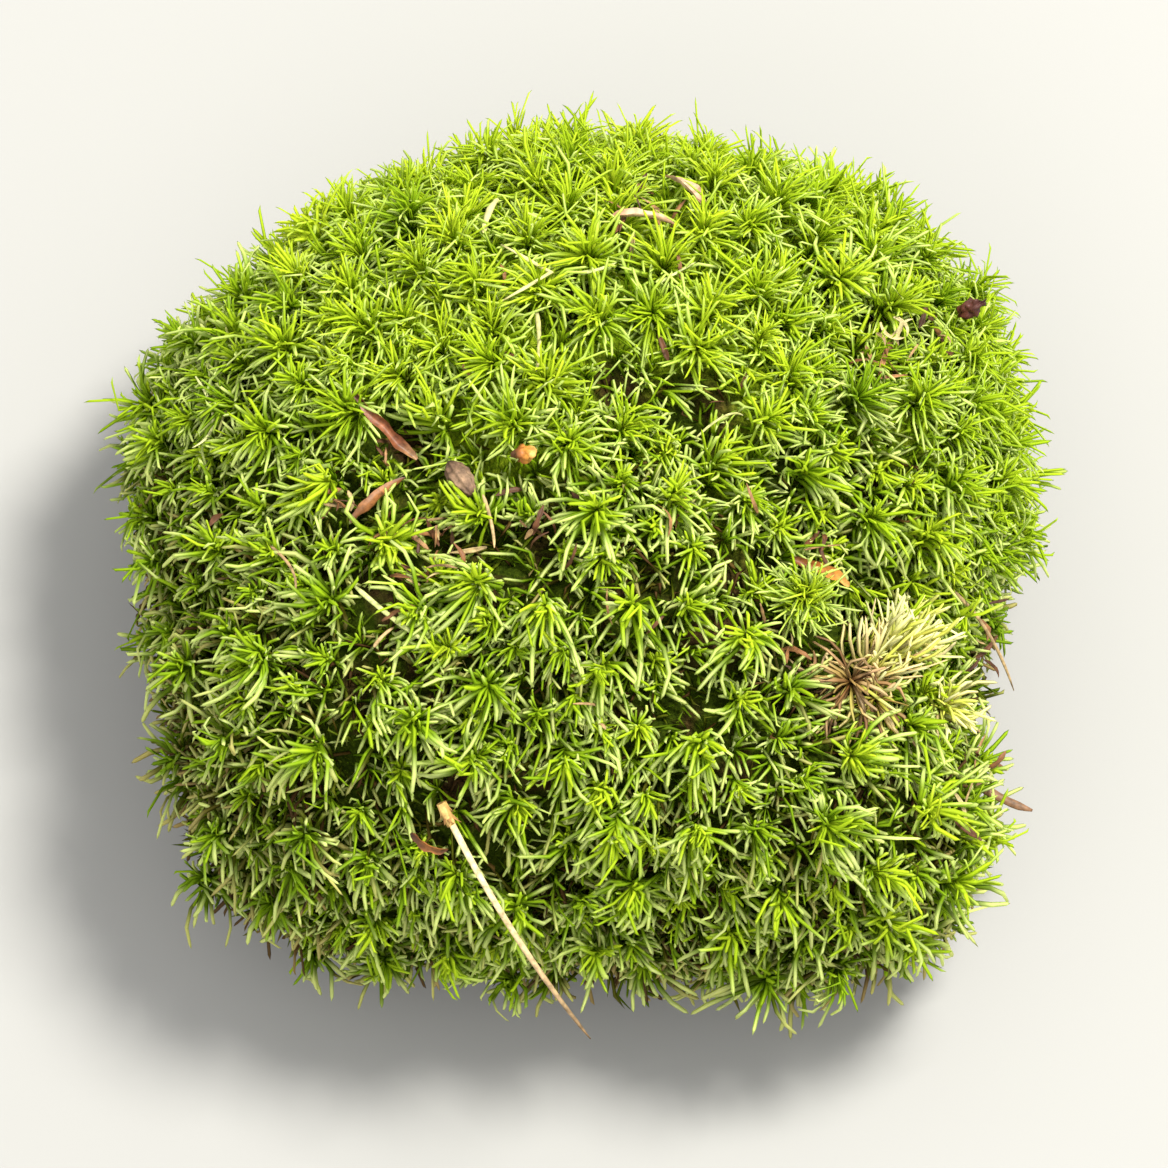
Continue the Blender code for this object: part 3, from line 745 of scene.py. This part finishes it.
def thatch():
    """A lumpy dark body under the leaves, a few millimetres inside the cushion. Its darkness is partly
    painted shade for the gaps between shoots.
    """
    cushion = welded("moss_cushion")
    tips, middles = (set(found) for found in tips_and_middles(cushion))
    places = np.array([vertex.co for vertex in cushion.verts])
    depths = np.array([
        TIP_SINK if vertex in tips else MIDDLE_SINK if vertex in middles else EDGE_SINK
        for vertex in cushion.verts
    ])
    depths -= 1.3 * (1 - openness(places))
    for gap, reach in hollow_gaps(places):
        inside = (places[:, 2] > HOLLOWS_FROM) & (gap < reach + 2)
        depths += np.where(inside, 2.5 * (1 - gap / (reach + 2)), 0)
    for vertex, depth in zip(cushion.verts, depths):
        if vertex.co.z > 12.5 * MM or vertex in tips:
            vertex.co -= (vertex.co - STEMS_MIDDLE).normalized() * depth * MM
            vertex.co.z = max(vertex.co.z, STEMS_LOWEST)
    bmesh.ops.subdivide_edges(cushion, edges=cushion.edges, cuts=1, use_grid_fill=True)
    for vertex in cushion.verts:
        if vertex.co.z > 12.6 * MM:
            lump = noise.noise(vertex.co / MM * 0.55)
            vertex.co += (vertex.co - STEMS_MIDDLE).normalized() * lump * 0.9 * MM
    points, triangles = arrays_of(cushion)
    # painted shade: the stems are coloured darker low down, in the hollows and where shoots stand apart,
    # where packed is near 0
    packed = (1 - openness(points)) * smooth_step(points[:, 2] / MM, 12, 26) * (1 - in_hollows(points))
    make_piece(
        "moss_thatch", points, NO_QUADS, triangles, thatch_dark(), "moss", ["moss_cushion"], along=packed
    )
    return points, triangles


# The humus mat

def humus():
    """The earth under the moss, rough round its side and cut flat below."""
    slab = welded("humus_base")
    bmesh.ops.subdivide_edges(slab, edges=slab.edges, cuts=3, use_grid_fill=True)
    for vertex in slab.verts:
        place = vertex.co / MM
        if place.z > 0.3:
            outward = Vector((place.x, place.y, 0)).normalized()
            rough = noise.fractal(place * 0.22, 1.0, 2.0, 5) * 2.0
            fade = min(1, (12.4 - place.z) / 2, place.z / 1.5)
            vertex.co += outward * rough * fade * MM
    points, triangles = arrays_of(slab)
    make_piece("humus_mat", points, NO_QUADS, triangles, humus_dark(), "humus", ["humus_base"])
    surface = BVHTree.FromPolygons([Vector(p) for p in points], [tuple(t) for t in triangles])
    roots(surface)
    crumbs(surface)


def flank_point(surface, turn, height):
    """Where a ray from outside meets the humus at this height, and the way out there."""
    outward = Vector((math.cos(turn), math.sin(turn), 0))
    start = outward * 0.09 + Vector((0, 0, height))
    place, normal, _, _ = surface.ray_cast(start, -outward)
    return place, normal


ROOT_SECTION = np.array([(math.cos(a), math.sin(a)) for a in (0, math.tau / 3, 2 * math.tau / 3)])
ROOTS, ROOT_POINTS, CRUMBS = 230, 9, 300


def roots(surface):
    """Fine roots and old stems that cling to the side of the humus."""
    bodies = Bodies()
    for _ in range(ROOTS):
        turn, height = chance.uniform(0, math.tau), chance.uniform(1.2, 11.5) * MM
        course = chance.uniform(-1, 1)
        climb = chance.normal(0, 0.5)
        move = chance.uniform(6, 18) * MM / ROOT_POINTS
        line = []
        for step in range(ROOT_POINTS):
            place, normal = flank_point(surface, turn, height)
            stand = (0.15 + 0.9 * abs(math.sin(step * chance.uniform(0.5, 1.2)))) * MM
            line.append(np.array(place + normal * stand))
            course += chance.normal(0, 0.35)
            climb += chance.normal(0, 0.3)
            turn += move * math.cos(climb) * math.copysign(1, course) / 0.038
            height = min(max(height + move * math.sin(climb), 0.9 * MM), 11.8 * MM)
        line = np.array(line)
        line[:, 2] = np.maximum(line[:, 2], 0.5 * MM)
        widths = chance.uniform(0.13, 0.30) * MM * np.linspace(1.0, 0.35, ROOT_POINTS)
        bodies.sweep(line, *level_sides(line), widths, ROOT_SECTION, along=chance.uniform(0, 1))
    brown = striped(
        "root", 0.8, 900.0, 0.35,
        (0, 0.05, 0.026, 0.012), (0.5, 0.13, 0.07, 0.03), (1, 0.34, 0.21, 0.10),
    )
    bodies.piece("humus_roots", brown, "humus", ["humus_base"])


def crumbs(surface):
    """Crumbs of earth on the side of the humus."""
    maker = bmesh.new()
    bmesh.ops.create_icosphere(maker, subdivisions=1, radius=1.0)
    shape, faces = arrays_of(maker)
    bodies = Bodies()
    for _ in range(CRUMBS):
        height = chance.uniform(0.8, 11.0) * MM
        place, _ = flank_point(surface, chance.uniform(0, math.tau), height)
        stretch = chance.uniform(0.45, 1.25, 3) * 0.8 * MM
        lumps = 1 + chance.normal(0, 0.16, (len(shape), 1))
        points = shape * lumps * stretch + np.array(place)
        points[:, 2] = np.maximum(points[:, 2], 0.1 * MM)
        bodies.add(points, NO_QUADS, faces, along=0.5)
    bodies.piece("humus_crumbs", humus_dark(), "humus", ["humus_base"])


# The withered shoot

def lone_shoot(place, axis, count, kind, fresh, comb, spread, droop):
    """Leaves of one shoot whose axis is given. Its place is in mm."""
    leaves = shoot_leaves(
        np.array([place]) * MM, np.array([Vector(axis).normalized()]), count, (kind, kind),
        np.ones(1), np.array([fresh]), np.ones(1), tilt=0.0, comb=0.0,
    )
    leaves["axis"] = np.broadcast_to(unit(np.array(axis, float)), leaves["axis"].shape)
    leaves["comb"] = np.broadcast_to(np.array(comb, float), leaves["comb"].shape)
    leaves["droop"] = np.full(count, droop)
    leaves["wave"] = chance.normal(0, 0.5, count)
    leaves["sweep"] = chance.normal(0, 0.7, count)
    leaves["fresh"] = np.clip(leaves["fresh"] + chance.normal(0, spread, count), 0.01, 0.99)
    return leaves


# A bleached fan of three tufts up to the right, two brown tufts and a pale one: place in plan and
# rise in mm, axis, leaves, kind, freshness, the way they are combed, spread of freshness, droop
FAN = (0.50, 0.62, 0.60), 52, WITHERED_FAN
FAN_COMB = (0.4, 0.5, 0.0), 0.09, 0.1
WITHERED_TUFTS = (
    (30.5, -18.6, 1.8, *FAN, 0.70, *FAN_COMB), (32.6, -16.0, 1.8, *FAN, 0.80, *FAN_COMB),
    (34.6, -13.4, 1.8, *FAN, 0.90, *FAN_COMB),
    (28.2, -20.4, 1.6, (-0.2, -0.4, 0.9), 60, WITHERED_BROWN, 0.30, (-0.6, -0.7, 0.0), 0.13, 0.5),
    (31.0, -21.5, 1.2, (0.1, -0.5, 0.85), 30, WITHERED_BROWN, 0.52, (0.2, -0.9, 0.0), 0.10, 0.5),
    (38.4, -19.4, 1.4, (0.35, 0.1, 0.9), 54, WITHERED_PALE, 0.86, (0.6, -0.5, 0.0), 0.08, 0.5),
)


def withered_shoot(surface):
    """One dead shoot, made of its tufts."""
    tufts = []
    for x, y, rise, *rest in WITHERED_TUFTS:
        height = on_moss(surface, x, y)[0][2] / MM + rise
        tufts.append(lone_shoot((x, y, height), *rest))
    grow("withered_leaves", [(join_leaves(tufts), 5)], leaf_withered(), "withered_moss", ["withered_shoot"])


# Litter

def spine(node, count):
    """The middle line of a long thin CAD node, its two cross directions and its half width."""
    points = np.array([vertex.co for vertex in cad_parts[node].data.vertices])
    centre = points.mean(axis=0)
    _, _, directions = np.linalg.svd(points - centre, full_matrices=False)
    lengthwise, across = directions[0], directions[1]
    lengthwise = lengthwise * np.sign(lengthwise[np.argmax(np.abs(lengthwise))])
    share = (points - centre) @ lengthwise
    share = (share - share.min()) / np.ptp(share)
    fits = [np.polyfit(share, points[:, i], 3) for i in range(3)]
    line = np.stack([np.polyval(fit, np.linspace(0, 1, count)) for fit in fits], axis=1)
    heading = unit(np.gradient(line, axis=0))
    if np.cross(across, lengthwise)[2] < 0:
        across = -across
    side = unit(across - np.sum(across * heading, axis=1, keepdims=True) * heading)
    over = np.cross(side, heading)
    own_line = np.stack([np.polyval(fit, share) for fit in fits], axis=1)
    return line, side, over, np.linalg.norm(points - own_line, axis=1).max()


def strip_section(curl, thickness):
    """A thin strip seen from its end, its edges curled up."""
    across = np.linspace(-1, 1, 5)
    upper = np.stack([across, curl * across**2], axis=1)
    lower = np.stack([across[::-1] * 0.98, curl * across[::-1] ** 2 - thickness], axis=1)
    return np.concatenate([upper, lower])


SCALE_OUTLINE = ((0, 0.06, 0.3, 0.62, 0.86, 0.96, 1), (0.30, 0.62, 1.0, 0.92, 0.66, 0.40, 0.12))


def ragged_scale(node, material, slot, curl, wide, twist=0.3):
    """A thin curled scale with uneven, notched edges along a CAD node's own line."""
    count = 30
    line, side, over, half = spine(node, count)
    share = np.linspace(0, 1, count)

    def uneven(size=0.14):
        slow = np.interp(share, np.linspace(0, 1, 9), chance.normal(0, size, 9))
        return slow + chance.normal(0, size * 0.12, count)

    widths = half * wide * np.interp(share, *SCALE_OUTLINE) * (1 + uneven())
    line = line + side * (half * wide * uneven())[:, None]
    turn = ((share - 0.5) * twist)[:, None]
    turned = side * np.cos(turn) + over * np.sin(turn), over * np.cos(turn) - side * np.sin(turn)
    bodies = Bodies()
    bodies.sweep(line, *turned, widths, strip_section(curl, 0.28))
    bodies.piece(node + "_thin", material, slot, [node], sharp=50)


ROUND_SECTION = np.array([(math.cos(a), math.sin(a)) for a in np.arange(10) / 10 * math.tau])
SHEATH_BRACTS = 11


def pine_needle():
    """A dry needle, half round, with the brown sheath still on its upper end."""
    count, rows = 46, 9
    line, side, over, half = spine("pine_needle", count)
    if line[0, 2] < line[-1, 2]:
        line, side, over = line[::-1], side[::-1], over[::-1]
    section = ROUND_SECTION.copy()
    section[:, 1] *= np.where(section[:, 1] < 0, 0.35, 0.9)
    taper = np.interp(np.linspace(0, 1, count), (0, 0.04, 0.7, 0.93, 1), (0.38, 0.50, 0.40, 0.26, 0.08))
    needle = Bodies()
    needle.sweep(line, side, over, half * taper, section)
    tan = striped(
        "needle_tan", 0.5, 1300.0, 0.5,
        (0, 0.46, 0.30, 0.10), (0.12, 0.66, 0.54, 0.29), (0.4, 0.58, 0.45, 0.24),
        (0.7, 0.36, 0.25, 0.13), (1, 0.12, 0.07, 0.03),
    )
    needle.piece("needle_blade", tan, "straw", ["pine_needle"])
    sheath = Bodies()
    run = np.linspace(0, 1, rows)
    bract = strip_section(-0.3, 0.25)

    def upper_end(last):
        """The needle's line from its top down to one of its points."""
        return np.stack([np.interp(run * last, np.arange(count), line[:, i]) for i in range(3)], axis=1)

    for number in range(SHEATH_BRACTS):
        angle = number * 2.4
        middle = upper_end(chance.uniform(2.2, 4.4))
        outward = side[:rows] * math.cos(angle) + over[:rows] * math.sin(angle)
        around = over[:rows] * math.cos(angle) - side[:rows] * math.sin(angle)
        flare = half * (0.40 + 0.03 * number + chance.uniform(0.1, 1.6) * run**3)
        middle = middle + outward * flare[:, None]
        widths = half * np.interp(run, (0, 0.3, 0.8, 1), (0.30, 0.50, 0.32, 0.05))
        sheath.sweep(middle, around, outward, widths, bract, along=chance.uniform(0.1, 1))
    core = half * np.interp(run, (0, 0.25, 0.8, 1), (0.35, 0.64, 0.68, 0.5))
    sheath.sweep(upper_end(3.6), side[:rows], over[:rows], core, ROUND_SECTION, along=0.4)
    brown = striped(
        "sheath_brown", 0.7, 1300.0, 0.5,
        (0, 0.20, 0.09, 0.03), (0.5, 0.42, 0.24, 0.07), (1, 0.56, 0.38, 0.13),
    )
    sheath.piece("needle_sheath", brown, "straw", ["pine_needle"])


# Bleached leaves curled up where the pale stub lies: where each starts in mm from its middle,
# its length in mm, the way it sets out and how far it turns, in degrees, and how it climbs
PALE_CURLS = (
    (-1.2, 0.8, 4.2, 275, 115, -0.15), (0.4, -1.3, 3.6, 80, -70, 0.35), (-0.2, -0.9, 3.0, 20, 95, 0.1),
    (1.3, 0.6, 2.8, 230, 60, -0.3), (-1.6, -0.4, 2.6, 320, -50, 0.4), (0.2, 1.4, 3.2, 340, -85, -0.2),
)


def pale_curls():
    """Bleached leaves, curled up round the place of the pale stub."""
    low, high = (np.array(corner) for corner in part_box("pale_stub"))
    rows = 14
    run = np.linspace(0, 1, rows)
    widths = 0.21 * MM * np.interp(run, (0, 0.3, 0.8, 1), (0.5, 1, 0.7, 0.15))
    bodies = Bodies()
    for x, y, length, first, turn, climb in PALE_CURLS:
        course = np.radians(first + turn * run**1.4)
        heading = unit(np.stack([np.cos(course), np.sin(course), climb + 0.5 * np.sin(4 * run)], axis=1))
        steps = np.cumsum(heading, axis=0) - heading[:1]
        line = (low + high) / 2 + np.array([x, y, -0.7]) * MM + steps * (length * MM / rows)
        side = unit(np.cross(heading, UP + 0.5 * heading[::-1]))
        over = np.cross(side, heading)
        bodies.sweep(line, side, over, widths, strip_section(0.7, 0.35), along=length / 4.2)
    pale = striped(
        "curl_pale", 0.55, 1200.0, 0.35,
        (0.6, 0.26, 0.17, 0.08), (0.8, 0.48, 0.42, 0.20), (1, 0.42, 0.34, 0.15),
    )
    bodies.piece("pale_stub_curls", pale, "straw", ["pale_stub"])


def refined(name, node, material, slot, rough, cuts=2, scale=1.6, smooth=0.6, shrink=0.0):
    """A CAD node's own shape, rounded and roughened."""
    maker = welded(node)
    for _ in range(cuts):
        bmesh.ops.subdivide_edges(maker, edges=maker.edges, cuts=1, use_grid_fill=True, smooth=smooth)
    maker.normal_update()
    ends = [vertex.co.x for vertex in maker.verts]
    low, high = min(ends), max(ends)
    for vertex in maker.verts:
        vertex.co += vertex.normal * (noise.noise(vertex.co / MM * scale) * rough - shrink) * MM
    points, triangles = arrays_of(maker)
    along = (points[:, 0] - low) / (high - low)
    make_piece(name, points, NO_QUADS, triangles, material, slot, [node], along=along)


def seed_pod():
    """A small grey brown pod with ribs."""
    count, ribs = 24, 9
    line, side, over, half = spine("seed_pod", count)
    share = np.linspace(0, 1, count)
    angles = np.arange(54) / 54 * math.tau
    section = np.stack([np.cos(angles), np.sin(angles)], axis=1)
    section *= 1 + 0.10 * np.cos(angles * ribs)[:, None]
    widths = half * np.sin(math.pi * (0.05 + 0.92 * share)) ** 0.6
    widths *= 1 + 0.05 * np.sin(share * 26)
    bodies = Bodies()
    bodies.sweep(line, side, over, widths, section, flat=0.92)
    grey = striped(
        "pod_grey", 0.75, 1500.0, 0.6,
        (0, 0.09, 0.050, 0.030), (0.35, 0.20, 0.128, 0.078), (0.7, 0.12, 0.070, 0.042),
        (1, 0.030, 0.017, 0.011),
    )
    bodies.piece("pod_body", grey, "seed", ["seed_pod"])


# Straws on the moss: plan places in mm, width in mm, and colour from pale (0) to red brown (1).
# One that stands out of the flank has its heights too.
STRAWS = (
    (((-40.8, 14.9), (-38.9, 10.0), (-41.1, 6.9)), 0.34, 0.05),
    (((-10.3, -2.7), (-9.4, -5.6), (-9.1, -8.3)), 0.42, 0.50),
    (((-23.7, -12.0), (-19.6, -15.6), (-16.0, -18.4)), 0.60, 0.18),
    (((-4.7, 17.6), (-4.4, 14.0), (-4.7, 10.3)), 0.50, 0.34),
    (((-3.8, 39.6), (-0.6, 39.9), (2.5, 39.0)), 0.50, 0.08),
    (((-0.3, 21.8), (1.8, 22.3), (3.7, 23.4)), 0.42, 0.10),
    (((8.0, 21.1), (10.2, 22.4), (12.1, 24.2)), 0.32, 0.14),
    (((-21.7, -18.8), (-20.8, -17.4), (-19.6, -16.3)), 0.42, 0.60),
    (((39.0, -6.0, 33.0), (43.0, -9.5, 29.0), (46.0, -14.0, 22.0)), 0.42, 0.55),
    (((39.5, -21.5, 19.0), (44.0, -24.2, 17.5), (48.0, -25.8, 17.0)), 1.10, 0.92),
    (((12.0, 4.0), (15.0, 6.2), (17.0, 6.0)), 0.30, 0.30),
    (((-33.0, -6.0), (-30.5, -9.0), (-30.0, -12.0)), 0.34, 0.70),
)
# Scraps of bark and dead leaves: plan place, how far they spread in mm, and how many
SCRAPS = (
    (-14.8, -5.7, 2.4, 12), (-25.7, -1.7, 1.7, 7), (-17.0, -10.8, 2.0, 9), (-13.0, -9.1, 1.0, 3),
    (-20.0, 3.5, 1.6, 4), (22.6, -18.0, 1.8, 8), (24.0, -6.4, 1.6, 4), (43.5, -10.0, 3.0, 16),
    (43.5, -22.0, 2.4, 12), (39.9, -30.9, 1.4, 4), (30.5, 15.0, 2.2, 8), (6.5, 31.0, 3.4, 12),
    (38.5, 20.5, 1.6, 5), (-5.0, -5.4, 1.6, 5), (0.0, 0.0, 30.0, 26),
)


STRAW_RISE = 1.3


def on_moss(surface, x, y, rise=0.0):
    """A point over a place of the plan, raised off the moss in mm, and the way out there."""
    place, normal, _, _ = surface.ray_cast(Vector((x, y, 90)) * MM, Vector((0, 0, -1)))
    if place is None:
        return None, None
    return np.array(place + normal * rise * MM), np.array(normal)


def add_straw(straws, surface, corners, width, shade):
    """A straw bent through three places. Without heights of its own it lies on the moss."""
    corners = np.array(corners)
    rows = 12
    run = np.linspace(0, 1, rows)
    line = np.stack([np.polyval(np.polyfit((0, 0.5, 1), c, 2), run) for c in corners.T], axis=1)
    if len(corners[0]) == 2:
        heights = [on_moss(surface, x, y, STRAW_RISE)[0][2] / MM for x, y in line]
        line = np.column_stack([line, np.polyval(np.polyfit(run, heights, 2), run)])
    line = line * MM
    widths = width / 2 * MM * np.interp(run, (0, 0.1, 0.85, 1), (0.5, 1, 0.8, 0.25))
    widths = widths * (1 + chance.normal(0, 0.05, rows))
    straws.sweep(line, *level_sides(line), widths, ROUND_SECTION, flat=0.6, along=shade)


def add_scrap(scraps, place, normal):
    """A small curled scrap that lies about in the moss."""
    rows = 6
    run = np.linspace(-0.5, 0.5, rows)
    heading = unit(np.cross(normal, unit(chance.normal(0, 1, 3))) + chance.normal(0, 0.25, 3))
    side = unit(np.cross(heading, normal))
    over = np.cross(side, heading)
    length, width = chance.uniform(1.2, 4.4) * MM, chance.uniform(0.11, 0.34) * MM
    arch = (0.25 - run**2) * chance.uniform(-0.5, 1.2) * length
    line = place + heading * (run * length)[:, None] + over * arch[:, None]
    widths = width * np.interp(run, (-0.5, -0.2, 0.3, 0.5), (0.4, 1, 0.85, 0.2))
    widths = widths * (1 + chance.normal(0, 0.2, rows))
    section = strip_section(chance.uniform(-0.4, 0.9), 0.3)
    ways = np.tile(side, (rows, 1)), np.tile(over, (rows, 1))
    scraps.sweep(line, *ways, widths, section, along=chance.uniform(0, 1))


def loose_bits(surface):
    """Straws and small scraps caught in the moss."""
    straws, scraps = Bodies(), Bodies()
    for straw in STRAWS:
        add_straw(straws, surface, *straw)
    straws.piece("moss_straws", striped(
        "straw_loose", 0.55, 1300.0, 0.5,
        (0, 0.50, 0.50, 0.22), (0.2, 0.42, 0.46, 0.16), (0.5, 0.34, 0.24, 0.11),
        (1, 0.14, 0.060, 0.030),
    ), "straw", [])
    for x, y, spread, count in SCRAPS:
        for _ in range(count):
            spot = chance.normal((x, y), spread * 0.6)
            place, normal = on_moss(surface, *spot, chance.uniform(-0.6, 0.9))
            if place is not None:
                add_scrap(scraps, place, normal)
    scraps.piece("moss_scraps", striped(
        "scrap_brown", 0.6, 1300.0, 0.5,
        (0, 0.04, 0.018, 0.008), (0.35, 0.11, 0.042, 0.016), (0.6, 0.22, 0.10, 0.036),
        (0.85, 0.28, 0.17, 0.075), (1, 0.34, 0.27, 0.12),
    ), "bark", [])


def litter():
    """The scales, small leaves, straws, buds, pod and needle that the CAD nodes stand for."""
    red = striped(
        "bark_red", 0.45, 1300.0, 0.6,
        (0, 0.30, 0.17, 0.08), (0.25, 0.13, 0.042, 0.016), (0.6, 0.20, 0.066, 0.024),
        (1, 0.06, 0.022, 0.010),
    )
    orange = striped(
        "bark_orange", 0.5, 1300.0, 0.55,
        (0, 0.07, 0.026, 0.010), (0.35, 0.18, 0.070, 0.018), (0.7, 0.25, 0.10, 0.026),
        (1, 0.09, 0.034, 0.012),
    )
    bright = striped(
        "scale_orange", 0.5, 1300.0, 0.5,
        (0, 0.07, 0.028, 0.012), (0.35, 0.28, 0.095, 0.020), (0.7, 0.44, 0.19, 0.035),
        (1, 0.54, 0.29, 0.08),
    )
    leaf = striped(
        "leaf_tan", 0.6, 1100.0, 0.45,
        (0, 0.40, 0.22, 0.13), (0.5, 0.60, 0.41, 0.27), (1, 0.34, 0.18, 0.10),
    )
    straw = striped(
        "straw_pale", 0.5, 700.0, 0.25,
        (0, 0.50, 0.44, 0.19), (0.5, 0.55, 0.51, 0.22), (1, 0.48, 0.42, 0.16),
    )
    bud = striped("bud_red", 0.5, 1200.0, 0.5, (0, 0.085, 0.022, 0.014), (1, 0.036, 0.011, 0.008))
    ragged_scale("bark_scale", red, "bark", curl=0.9, wide=0.52, twist=1.2)
    ragged_scale("bark_flake", orange, "bark", curl=0.6, wide=0.45)
    ragged_scale("bud_scale", bright, "orange_scale", curl=0.8, wide=0.52)
    ragged_scale("front_scale", orange, "bark", curl=0.6, wide=0.65)
    for side, twist in (("left", 0.9), ("right", -0.9)):
        ragged_scale("tan_leaf_" + side, leaf, "dry_leaf", curl=0.9, wide=0.6, twist=twist)
    refined("short_straw_thin", "short_straw", straw, "straw", 0.05)
    refined("bent_straw_thin", "bent_straw", straw, "straw", 0.05, cuts=1, smooth=0.0, shrink=0.08)
    pale_curls()
    refined("orange_bud_rough", "orange_bud", bright, "orange_scale", 0.9, scale=1.3)
    refined("red_bud_rough", "red_bud", bud, "bark", 0.6, scale=1.5, shrink=0.35)
    seed_pod()
    pine_needle()


# The stage

# Each lamp's name, place and width in metres, watts and colour
LAMPS = (
    ("key_light", (0.48, 0.30, 1.18), 0.36, 36, (1.0, 0.97, 0.89)),
    ("fill_light", (-0.5, -1.0, 0.9), 1.2, 5, (1.0, 0.99, 0.96)),
)
LAMPS_AIM = Vector((0, 0, 0.03))
FLOOR_REACH = 6.0


def make_floor():
    mesh = bpy.data.meshes.new("floor")
    corners = ((-1, -1), (1, -1), (1, 1), (-1, 1))
    mesh.from_pydata([(x * FLOOR_REACH, y * FLOOR_REACH, 0) for x, y in corners], [], [(0, 1, 2, 3)])
    floor = bpy.data.objects.new("floor", mesh)
    nodes = Nodes("floor_pale", 0.8, 0.2)
    nodes.colour((0.30, 0.30, 0.295, 1))
    mesh.materials.append(nodes.material)
    bpy.context.scene.collection.objects.link(floor)


def put_up(name, data, place, direction):
    """A lamp or the camera, at its place and turned along a direction."""
    thing = bpy.data.objects.new(name, data)
    thing.location = place
    thing.rotation_mode = "QUATERNION"
    thing.rotation_quaternion = direction.to_track_quat("-Z", "Y")
    bpy.context.scene.collection.objects.link(thing)
    return thing


def make_lights():
    for name, place, size, power, colour in LAMPS:
        light = bpy.data.lights.new(name, "AREA")
        light.shape = "DISK"
        light.size = size
        light.energy = power
        light.color = colour
        lamp = put_up(name, light, place, LAMPS_AIM - Vector(place))
        lamp.visible_camera = False
    world = bpy.data.worlds.new("studio")
    world.use_nodes = True
    background = world.node_tree.nodes["Background"]
    background.inputs["Color"].default_value = (1.0, 0.99, 0.96, 1)
    background.inputs["Strength"].default_value = 1.20
    bpy.context.scene.world = world


def make_camera():
    camera = bpy.data.cameras.new("camera")
    camera.sensor_width = SENSOR_WIDTH
    camera.lens = SENSOR_WIDTH * CAMERA_DISTANCE / FRAME_WIDTH
    camera.clip_start = 0.1
    camera.clip_end = 20
    tilt = math.radians(CAMERA_ELEVATION)
    back = Vector((0, -math.cos(tilt), math.sin(tilt)))
    bpy.context.scene.camera = put_up("camera", camera, CAMERA_AIM + back * CAMERA_DISTANCE, -back)


make_camera()
make_floor()
make_lights()
bpy.context.scene.view_settings.view_transform = "Standard"
cushion_maker = welded("moss_cushion")
cushion_surface = BVHTree.FromBMesh(cushion_maker)
cushion_maker.free()
moss(thatch())
humus()
withered_shoot(cushion_surface)
loose_bits(cushion_surface)
litter()
